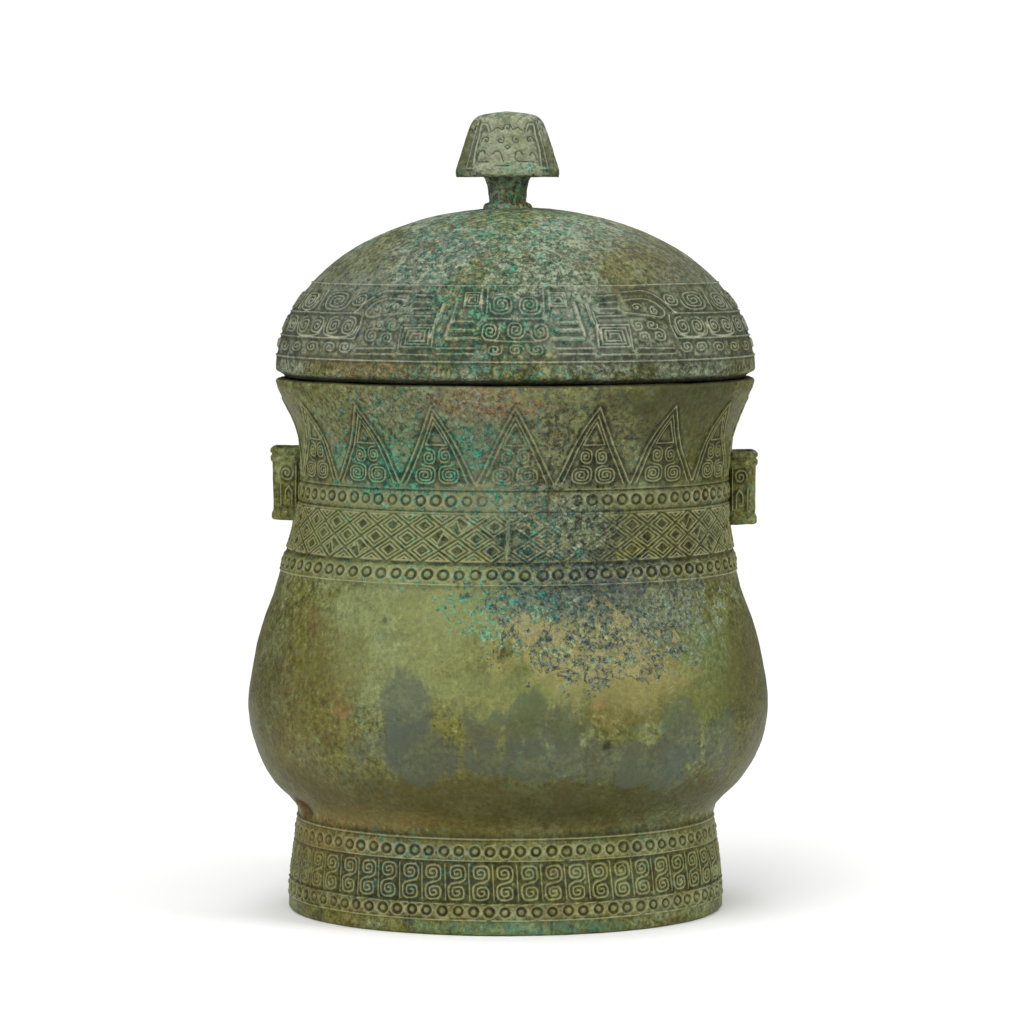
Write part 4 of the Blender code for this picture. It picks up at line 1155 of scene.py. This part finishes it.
# Each patch: shade, centre, reach, amount, speckle, ragged, grain, soft, roughness, rise, and for one that
# is broken into islands how bare it is. A patch with a long reach in depth runs through to the back.
bodyPatches = (
    ("pale", (-27, -46, 76), (21, 110, 17), 0.70, 0.20, 0.30, 60, 0.5, 0.42, 0.0),
    ("pale", (-6, -46, 84), (14, 24, 9), 0.55, 0.20, 0.30, 60, 0.5, 0.42, 0.0),
    ("brown", (-52, -34, 54), (15, 24, 22), 0.70, 0.30, 0.40, 60, 0.5, 0.45, 0.0),
    ("brown", (-18, -48, 44), (16, 24, 14), 0.35, 0.30, 0.40, 60, 0.5, 0.45, 0.0),
    ("ochre", (33, -46, 61), (20, 110, 7), 0.75, 0.30, 0.45, 90, 0.45, 0.45, 0.0),
    ("ochre", (62, -26, 70), (7, 22, 12), 0.60, 0.30, 0.45, 90, 0.45, 0.45, 0.0),
    ("leaf", (52, -34, 66), (12, 22, 14), 0.75, 0.20, 0.35, 60, 0.5, 0.42, 0.0),
    ("leaf", (10, -50, 66), (22, 20, 5), 0.50, 0.20, 0.35, 60, 0.5, 0.42, 0.0),
    # a darker band round the lower belly: brown stain, with painted shade under the bulge
    ("brown", (-14, -44, 33), (54, 140, 8.5), 0.85, 0.20, 0.35, 90, 0.5, 0.5, 0.0),
    ("dark", (-4, -44, 36), (60, 140, 6.5), 0.65, 0.20, 0.45, 90, 0.5, 0.5, 0.0),
    ("dark", (36, -40, 33), (34, 34, 8), 0.75, 0.20, 0.35, 60, 0.5, 0.5, 0.0),
    # painted shade down the body's left and right edges
    ("dark", (64, -14, 56), (9, 30, 26), 0.70, 0.20, 0.30, 60, 0.5, 0.5, 0.0),
    ("dark", (-66, -14, 60), (9, 30, 26), 0.60, 0.20, 0.30, 60, 0.5, 0.5, 0.0),
    ("pale", (0, -50, 62), (22, 20, 8), 0.55, 0.20, 0.60, 60, 0.4, 0.42, 0.0, 0.3),
    ("cloud", (-28, -46, 60), (8, 120, 9), 0.90, 0.20, 1.10, 75, 0.40, 0.40, 0.0, 0.20),
    ("cloud", (-35, -44, 49), (10, 16, 7), 0.80, 0.20, 1.10, 75, 0.40, 0.40, 0.0, 0.30),
    ("cloud", (-20, -48, 47), (14, 16, 8), 0.90, 0.20, 1.10, 75, 0.35, 0.40, 0.0, 0.30),
    ("cloud", (6, -50, 54), (19, 16, 9), 0.90, 0.15, 1.60, 75, 0.35, 0.40, 0.0, 0.50),
    ("cloud", (10, -50, 45), (26, 120, 6.5), 0.90, 0.15, 1.20, 75, 0.40, 0.40, 0.0, 0.20),
    ("cloud", (38, -44, 43), (13, 18, 7), 0.90, 0.20, 1.20, 75, 0.25, 0.40, 0.0, 0.35),
    ("cloud", (43, -42, 50), (5, 18, 13), 0.85, 0.20, 1.60, 75, 0.40, 0.40, 0.0, 0.40),
    ("cloud", (55, -34, 46), (5, 18, 11), 0.75, 0.20, 1.60, 75, 0.40, 0.40, 0.0, 0.45),
    ("leaf", (20, -48, 58), (40, 18, 10), 0.35, 0.20, 1.20, 75, 0.35, 0.40, 0.0, 0.90),
    ("brown", (20, -48, 50), (44, 18, 14), 0.30, 0.35, 1.20, 75, 0.35, 0.40, 0.0, 1.00),
    ("tan", (26, -50, 67), (25, 18, 7), 0.50, 0.25, 0.70, 90, 0.5, 0.42, 0.0),
    ("ash", (30, -46, 82), (30, 26, 13), 0.80, 0.60, 0.70, 260, 0.15, 0.80, 0.6),
    ("slate", (34, -46, 82), (26, 26, 13), 0.88, 0.90, 0.90, 260, 0.12, 0.80, 1.0, 0.3),
    ("slate", (16, -46, 86), (26, 26, 6), 0.85, 0.70, 0.90, 260, 0.12, 0.80, 1.0, 0.3),
    ("ash", (28, -46, 83), (31, 105, 12), 0.85, 0.85, 0.90, 260, 0.12, 0.80, 0.6, 0.2),
    ("teal", (0, -48, 82), (14, 22, 9), 0.75, 0.95, 0.80, 260, 0.15, 0.80, 0.6),
    ("tan", (20, -50, 74), (26, 20, 10), 0.60, 0.45, 0.90, 160, 0.20, 0.60, 0.0, 0.2),
    ("slate", (24, -50, 76), (27, 22, 12), 0.95, 0.55, 2.20, 160, 0.10, 0.75, 1.2, 0.60),
    ("tan", (24, -50, 76), (26, 20, 10.5), 0.92, 0.30, 2.20, 160, 0.08, 0.60, -0.8, 0.98),
    ("slate", (22, -50, 74), (28, 20, 11), 0.95, 1.20, 1.20, 260, 0.06, 0.75, 0.3, 0.6),
    ("teal", (26, -50, 78), (25, 20, 10), 0.70, 1.5, 0.90, 260, 0.10, 0.80, 0.4),
    ("ash", (-10, -44, 118), (46, 30, 24), 0.60, 0.3, 0.40, 90, 0.5, 0.6, 0.0),
    ("ash", (13, -44, 101), (17, 20, 13), 0.90, 0.8, 0.60, 260, 0.25, 0.8, 1.4),
    ("slate", (15, -44, 100), (17, 20, 13), 0.90, 1.0, 0.70, 260, 0.15, 0.8, 1.6),
    ("slate", (20, -44, 91), (27, 130, 6), 0.88, 0.85, 0.70, 260, 0.15, 0.8, 1.2),
    ("dark", (12, -44, 102), (16, 20, 13), 0.80, 1.4, 0.60, 260, 0.15, 0.8, 0.0),
    ("slate", (8, -42, 126), (34, 120, 12), 0.60, 0.95, 0.60, 160, 0.2, 0.8, 0.8),
    ("brown", (12, -44, 124), (26, 26, 12), 0.70, 1.00, 0.60, 160, 0.3, 0.8, 0.6),
    ("dark", (14, -44, 124), (20, 26, 12), 0.75, 1.10, 0.60, 260, 0.3, 0.8, 0.8),
    ("slate", (-30, -42, 124), (26, 26, 15), 0.65, 1.10, 0.60, 260, 0.2, 0.8, 0.5),
    ("ash", (-24, -42, 124), (30, 26, 15), 0.60, 0.90, 0.60, 260, 0.2, 0.8, 0.5),
    ("teal", (-24, -42, 122), (27, 26, 16), 0.92, 1.05, 0.75, 260, 0.2, 0.85, 0.8),
    ("vivid", (-28, -42, 121), (16, 22, 10), 0.95, 0.9, 0.90, 160, 0.1, 0.85, 0.6),
    ("teal", (-12, -44, 100), (28, 120, 16), 0.92, 1.3, 0.60, 260, 0.2, 0.85, 0.6),
    ("brown", (-34, -34, 132), (24, 22, 8), 0.80, 0.7, 0.6, 260, 0.3, 0.8, 0.6),
    ("orange", (-7, -49, 134.5), (14, 12, 4), 0.90, 0.75, 0.7, 260, 0.2, 0.8, 0.8),
    ("ash", (-20, -46, 133), (28, 20, 4), 0.70, 1.0, 0.7, 260, 0.2, 0.8, 0.6),
    # painted shade over the right of the neck and its flare
    ("dark", (47, -34, 131), (20, 26, 14), 0.95, 0.25, 0.45, 90, 0.5, 0.55, 0.0),
    ("dark", (44, -34, 137), (19, 26, 6), 0.75, 0.20, 0.40, 90, 0.5, 0.55, 0.0),
    ("dark", (44, -34, 100), (20, 26, 20), 0.35, 0.25, 0.45, 90, 0.5, 0.55, 0.0),
    ("pale", (-34, -40, 101), (24, 26, 9), 0.78, 0.30, 0.45, 90, 0.5, 0.55, 0.0),
    ("orange", (-42, -36, 58), (2.4, 9, 3.6), 0.65, 0.6, 0.80, 260, 0.4, 0.6, 0.0),
    ("orange", (23, -48, 59.5), (1.3, 9, 1.5), 0.60, 0.5, 0.80, 260, 0.4, 0.6, 0.0),
    ("rust", (-49, -30, 78), (2.0, 9, 4.0), 0.60, 0.4, 0.35, 260, 0.4, 0.6, 0.0),
    ("rust", (-53, -16, 28), (3.4, 7, 2.8), 0.90, 0.2, 0.3, 260, 0.3, 0.8, 0.0),
    ("brown", (-42, -26, 14), (22, 24, 13), 0.75, 0.5, 0.5, 160, 0.35, 0.7, 0.5),
    ("ochre", (-34, -36, 28.5), (16, 24, 3.2), 0.60, 0.3, 0.5, 160, 0.4, 0.5, 0.0),
    ("ochre", (-44, -26, 22), (14, 24, 6), 0.80, 0.5, 0.5, 160, 0.35, 0.7, 0.0),
    ("teal", (6, -46, 2.0), (30, 12, 2.4), 0.45, 0.6, 0.5, 160, 0.3, 0.6, 0.0),
    ("rust", (0, -46, 6.2), (58, 34, 2.0), 0.45, 0.9, 0.7, 260, 0.3, 0.7, 0.0),
    ("slate", (-24, -42, 15), (20, 18, 9), 0.70, 0.85, 0.6, 260, 0.3, 0.8, 0.5),
    ("teal", (-28, -42, 17), (18, 18, 9), 0.60, 1.3, 0.6, 260, 0.3, 0.8, 0.5),
    ("dark", (-25, -40, 7), (0.35, 12, 4.5), 0.85, 0.0, 0.08, 90, 0.2, 0.9, -0.6),
    ("dark", (11, -45, 2.5), (0.35, 12, 3.5), 0.70, 0.0, 0.08, 90, 0.2, 0.9, -0.6))

lidPatches = (
    ("olive", (46, -28, 158), (20, 26, 22), 0.70, 0.3, 0.5, 60, 0.85, 0.5, 0.0),
    ("olive", (-44, -28, 166), (17, 26, 18), 0.75, 0.3, 0.4, 60, 0.45, 0.5, 0.0),
    # painted shade down the lid's left and right edges
    ("dark", (-60, -6, 156), (9, 30, 16), 0.55, 0.2, 0.3, 60, 0.5, 0.5, 0.0),
    ("dark", (62, -6, 156), (9, 30, 16), 0.55, 0.2, 0.3, 60, 0.5, 0.5, 0.0),
    ("silver", (17, -46, 155), (15, 14, 9), 0.80, 0.4, 0.5, 160, 0.5, 0.45, 0.0),
    ("silver", (-34, -36, 155), (24, 24, 11), 0.80, 0.5, 0.5, 160, 0.5, 0.5, 0.0),
    ("brown", (42, -24, 172), (22, 26, 11), 0.70, 0.95, 0.6, 160, 0.7, 0.7, 0.2),
    ("dark", (48, -20, 170), (20, 26, 12), 0.50, 0.2, 0.5, 60, 0.85, 0.6, 0.0),
    ("silver", (-6, -30, 172), (30, 20, 9), 0.45, 0.9, 0.5, 160, 0.7, 0.6, 0.3),
    ("teal", (-4, -40, 162), (30, 24, 18), 0.85, 1.1, 0.70, 260, 0.2, 0.85, 0.8),
    ("vivid", (-8, -44, 157), (22, 20, 10), 0.92, 1.15, 0.90, 260, 0.1, 0.85, 0.8),
    ("teal", (0, -20, 180), (30, 26, 9), 0.80, 1.1, 0.6, 260, 0.3, 0.8, 0.6),
    ("vivid", (6, -34, 172), (12, 16, 6), 0.80, 1.3, 0.6, 260, 0.3, 0.8, 0.6),
    ("slate", (-36, -36, 158), (20, 22, 12), 0.75, 0.9, 0.6, 260, 0.3, 0.8, 0.6),
    ("slate", (-20, -30, 174), (14, 20, 4), 0.60, 0.9, 0.8, 160, 0.2, 0.7, 0.3),
    ("brown", (10, -36, 168), (24, 18, 9), 0.70, 1.0, 0.7, 260, 0.25, 0.8, 0.5),
    ("brown", (-30, -40, 142), (34, 34, 3.6), 0.75, 0.5, 0.5, 160, 0.3, 0.8, 0.2),
    ("dark", (36, -36, 142), (34, 34, 3.6), 0.65, 0.6, 0.5, 160, 0.3, 0.8, 0.2),
    ("teal", (-8, -46, 142), (26, 24, 3.6), 0.75, 1.0, 0.6, 260, 0.3, 0.8, 0.4),
    ("ochre", (-36, -40, 144), (14, 20, 3), 0.55, 0.6, 0.6, 160, 0.3, 0.8, 0.4),
    ("frost", (0, -10, 200), (14, 5, 9), 0.92, 0.3, 0.3, 260, 0.4, 0.55, 0.0),
    ("olive", (-12.5, -4, 197), (3.6, 14, 9), 0.85, 0.1, 0.15, 160, 0.3, 0.45, 0.0),
    ("olive", (12.5, -4, 197), (3.6, 14, 9), 0.85, 0.1, 0.15, 160, 0.3, 0.45, 0.0),
    ("teal", (5, -9, 193.5), (7, 6, 1.6), 0.70, 0.9, 0.4, 260, 0.3, 0.8, 0.5),
    ("dark", (0, 0, 187.5), (9, 9, 4), 0.20, 0.7, 0.4, 260, 0.3, 0.85, 0.8),
    ("teal", (2, -5, 189), (4, 4, 4), 0.85, 0.9, 0.5, 260, 0.3, 0.85, 0.5))

bodyFinish = {"Olive": (0.115, 0.117, 0.027, 1), "Grey green": (0.135, 0.152, 0.060, 1), "Greyness": 0.34,
              "Malachite": 0.45, "Brown": 0.45, "Mottle": 0.60}
lidFinish = {"Olive": (0.135, 0.142, 0.052, 1), "Grey green": (0.170, 0.198, 0.135, 1), "Greyness": 0.62,
             "Malachite": 0.75, "Brown": 0.55, "Mottle": 1.0}
# How strongly patches cover, the grain that is drawn out upwards, the grain from which noise is simpler,
# the rise from which a patch shows in the bump, and the share of speckle from which it is broken up
crustForm = dict(cover=0.78, streaked=75, fine=200, thick=0.7, speckled=0.32, edge=0.04)


def makeBronze(name, patches, finish, crest, shadedHollow, bumps):
    material = bpy.data.materials.new(name)
    material.use_nodes = True
    tree = material.node_tree
    shader = tree.nodes["Principled BSDF"]
    vector = addNode(tree, "ShaderNodeTexCoord").outputs["Object"]
    moved = addNode(tree, "ShaderNodeMapping", {"Vector": vector, "Location": (0.31, 0.17, 0.23)}).outputs[0]
    tallwise = addNode(tree, "ShaderNodeMapping", {"Vector": vector, "Scale": (1.0, 1.0, 0.4)}).outputs[0]
    fines = (noiseAt(tree, vector, 560, 3, 0.7, 0.3), noiseAt(tree, moved, 640, 3, 0.7, 0.3))
    rags = {}
    for grain in sorted(set(patch[6] for patch in patches)):
        place = tallwise if grain == crustForm["streaked"] else vector
        rags[grain] = noiseAt(tree, place, grain, 3 if grain > crustForm["fine"] else 4, 0.68, 0.5)
    patina = placeGroup(tree, patinaGroup, {"Vector": vector, **finish})
    colour, rough, tall = patina["Color"], patina["Roughness"], patina["Height"]
    crust = 0.0
    for number, patch in enumerate(patches):
        shade, centre, reach, amount, speckle, ragged, grain, soft, dull, rise, *bare = patch
        near = placeGroup(tree, maskGroup, {
            "Vector": vector, "Centre": Vector(centre) * mm, "Reach": Vector(reach) * mm, "Rag": rags[grain],
            "Ragged": ragged, "Soft": soft, "Bare": bare[0] if bare else 0.0})["Mask"]
        specks = amount * (1 - speckle / 2)
        if speckle > crustForm["speckled"]:
            edge = 0.42 + 0.12 * speckle
            specks = between(tree, fines[number % 2], edge - crustForm["edge"], edge + crustForm["edge"],
                             amount * (1 - min(speckle, 1)), amount)
        mask = compute(tree, "MULTIPLY", near, specks)
        colour = mixColours(tree, compute(tree, "MULTIPLY", mask, crustForm["cover"]), colour, shades[shade])
        rough = mixValues(tree, mask, rough, dull)
        # thin crusts stay out of the bump, which is worked out three times over
        if abs(rise) > crustForm["thick"]:
            tall = compute(tree, "ADD", tall, compute(tree, "MULTIPLY", mask, rise))
        if rise > 0:
            crust = compute(tree, "MAXIMUM", crust, mask)
        if rise < 0:
            crust = compute(tree, "MULTIPLY", crust, compute(tree, "SUBTRACT", 1.0, mask))
    flecks = between(tree, noiseAt(tree, moved, 950, 2, 0.7), 0.36, 0.64, 0.42, 1.70)
    flecks = greyColour(tree, mixValues(tree, crust, 1.0, flecks))
    colour = mixColours(tree, 1.0, colour, flecks, "MULTIPLY")
    # worn crests, with painted shade in the grooves and over the inner faces
    wear = placeGroup(tree, wearShadeGroup, {"Vector": vector, "Color": colour, "Roughness": rough, "Crest": crest,
                                        "Groove patina and shade": shadedHollow})
    tree.links.new(wear["Color"], shader.inputs["Base Color"])
    tree.links.new(wear["Roughness"], shader.inputs["Roughness"])
    shader.inputs["Metallic"].default_value = 0.15
    shader.inputs["Specular IOR Level"].default_value = 0.18
    bump = addNode(tree, "ShaderNodeBump", {"Strength": 0.9, "Distance": bumps,
                                            "Height": compute(tree, "ADD", tall, wear["Height"])})
    tree.links.new(bump.outputs["Normal"], shader.inputs["Normal"])
    return material


# Camera, floor and light

viewForm = dict(lens=144.6, sensor=36, pitch=4.601, place=(0.001, -1.0716, 0.1901))
studioForm = dict(
    floorSize=1.0, worldLight=0.25, backdrop=1.05,
    # name, place, aim, size and power
    lights=(("keyLight", (-0.85, -1.15, 0.80), (0, 0, 0.10), 1.7, 20.0),
            ("fillLight", (1.25, -0.55, 0.75), (0, 0, 0.05), 0.5, 11.0),
            ("backLight", (0.6, 1.0, 1.0), (-0.05, 0, 0.0), 0.6, 3.0),
            ("topLight", (-0.15, -0.15, 1.6), (0, 0, 0.0), 1.2, 14.5)))


def makeStage():
    bpy.ops.mesh.primitive_grid_add(x_subdivisions=10, y_subdivisions=10, size=studioForm["floorSize"])
    floor = bpy.context.object
    floor.name = "studioFloor"
    bpy.ops.object.transform_apply(location=True, rotation=True, scale=True)
    paper = bpy.data.materials.new("palePaper")
    paper.use_nodes = True
    shader = paper.node_tree.nodes["Principled BSDF"]
    vector = addNode(paper.node_tree, "ShaderNodeTexCoord").outputs["Object"]
    soft = noiseAt(paper.node_tree, vector, 6, 3)
    tone = mixColours(paper.node_tree, soft, (0.96, 0.96, 0.96, 1), (0.98, 0.98, 0.98, 1))
    paper.node_tree.links.new(tone, shader.inputs["Base Color"])
    shader.inputs["Roughness"].default_value = 0.9
    shader.inputs["Specular IOR Level"].default_value = 0.0
    floor.data.materials.append(paper)

    world = bpy.data.worlds.new("studio")
    bpy.context.scene.world = world
    world.use_nodes = True
    tree = world.node_tree
    shown = addNode(tree, "ShaderNodeLightPath").outputs["Is Camera Ray"]
    dim = tree.nodes["Background"]
    dim.inputs[0].default_value = (1, 1, 1, 1)
    dim.inputs[1].default_value = studioForm["worldLight"]
    white = addNode(tree, "ShaderNodeBackground", {0: (1, 1, 1, 1), 1: studioForm["backdrop"]})
    choice = addNode(tree, "ShaderNodeMixShader", {0: shown, 1: dim.outputs[0], 2: white.outputs[0]})
    tree.links.new(choice.outputs[0], tree.nodes["World Output"].inputs["Surface"])

    for name, place, aim, size, power in studioForm["lights"]:
        bpy.ops.object.light_add(type="AREA", location=place)
        light = bpy.context.object
        light.name = name
        light.data.size = size
        light.data.energy = power
        light.rotation_euler = (Vector(aim) - Vector(place)).to_track_quat("-Z", "Y").to_euler()

    bpy.ops.object.camera_add(location=viewForm["place"],
                              rotation=(math.radians(90 - viewForm["pitch"]), 0, 0))
    camera = bpy.context.object
    camera.name = "photoCamera"
    camera.data.lens = viewForm["lens"]
    camera.data.sensor_width = viewForm["sensor"]
    bpy.context.scene.camera = camera
    bpy.context.scene.view_settings.view_transform = "Standard"


makeStage()
print("stage ready")

body = makeBody()
lid = makeLid()
lugs = [makeLug(-1, "leftLug"), makeLug(1, "rightLug")]
apex = lidLevel + lidForm["edge"] + lidForm["rise"]
knobCentre = float(leanAt(apex)) + knobForm["shift"]
stem = makeStem(knobCentre, apex)
knob = makeKnob(knobCentre, apex + stemForm["knobLevel"])
print("castings ready")

patinaGroup = makePatinaGroup()
maskGroup = makeMaskGroup()
wearShadeGroup = makeWearShadeGroup()
# each finish gives a worn crest colour and a groove colour of patina with painted shade
bodyBronze = makeBronze("bodyBronze", bodyPatches, bodyFinish, (0.34, 0.335, 0.18, 1),
                        (0.017, 0.019, 0.008, 1),
                        0.00034)
lidBronze = makeBronze("lidBronze", lidPatches, lidFinish, (0.42, 0.43, 0.31, 1), (0.038, 0.048, 0.034, 1),
                       0.00050)
for piece in [body] + lugs:
    piece.data.materials.append(bodyBronze)
    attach(piece, "root")
    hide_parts("vessel_body")
for piece in (lid, stem, knob):
    piece.data.materials.append(lidBronze)
    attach(piece, "root")
    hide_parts("lid")
print("finishes ready")
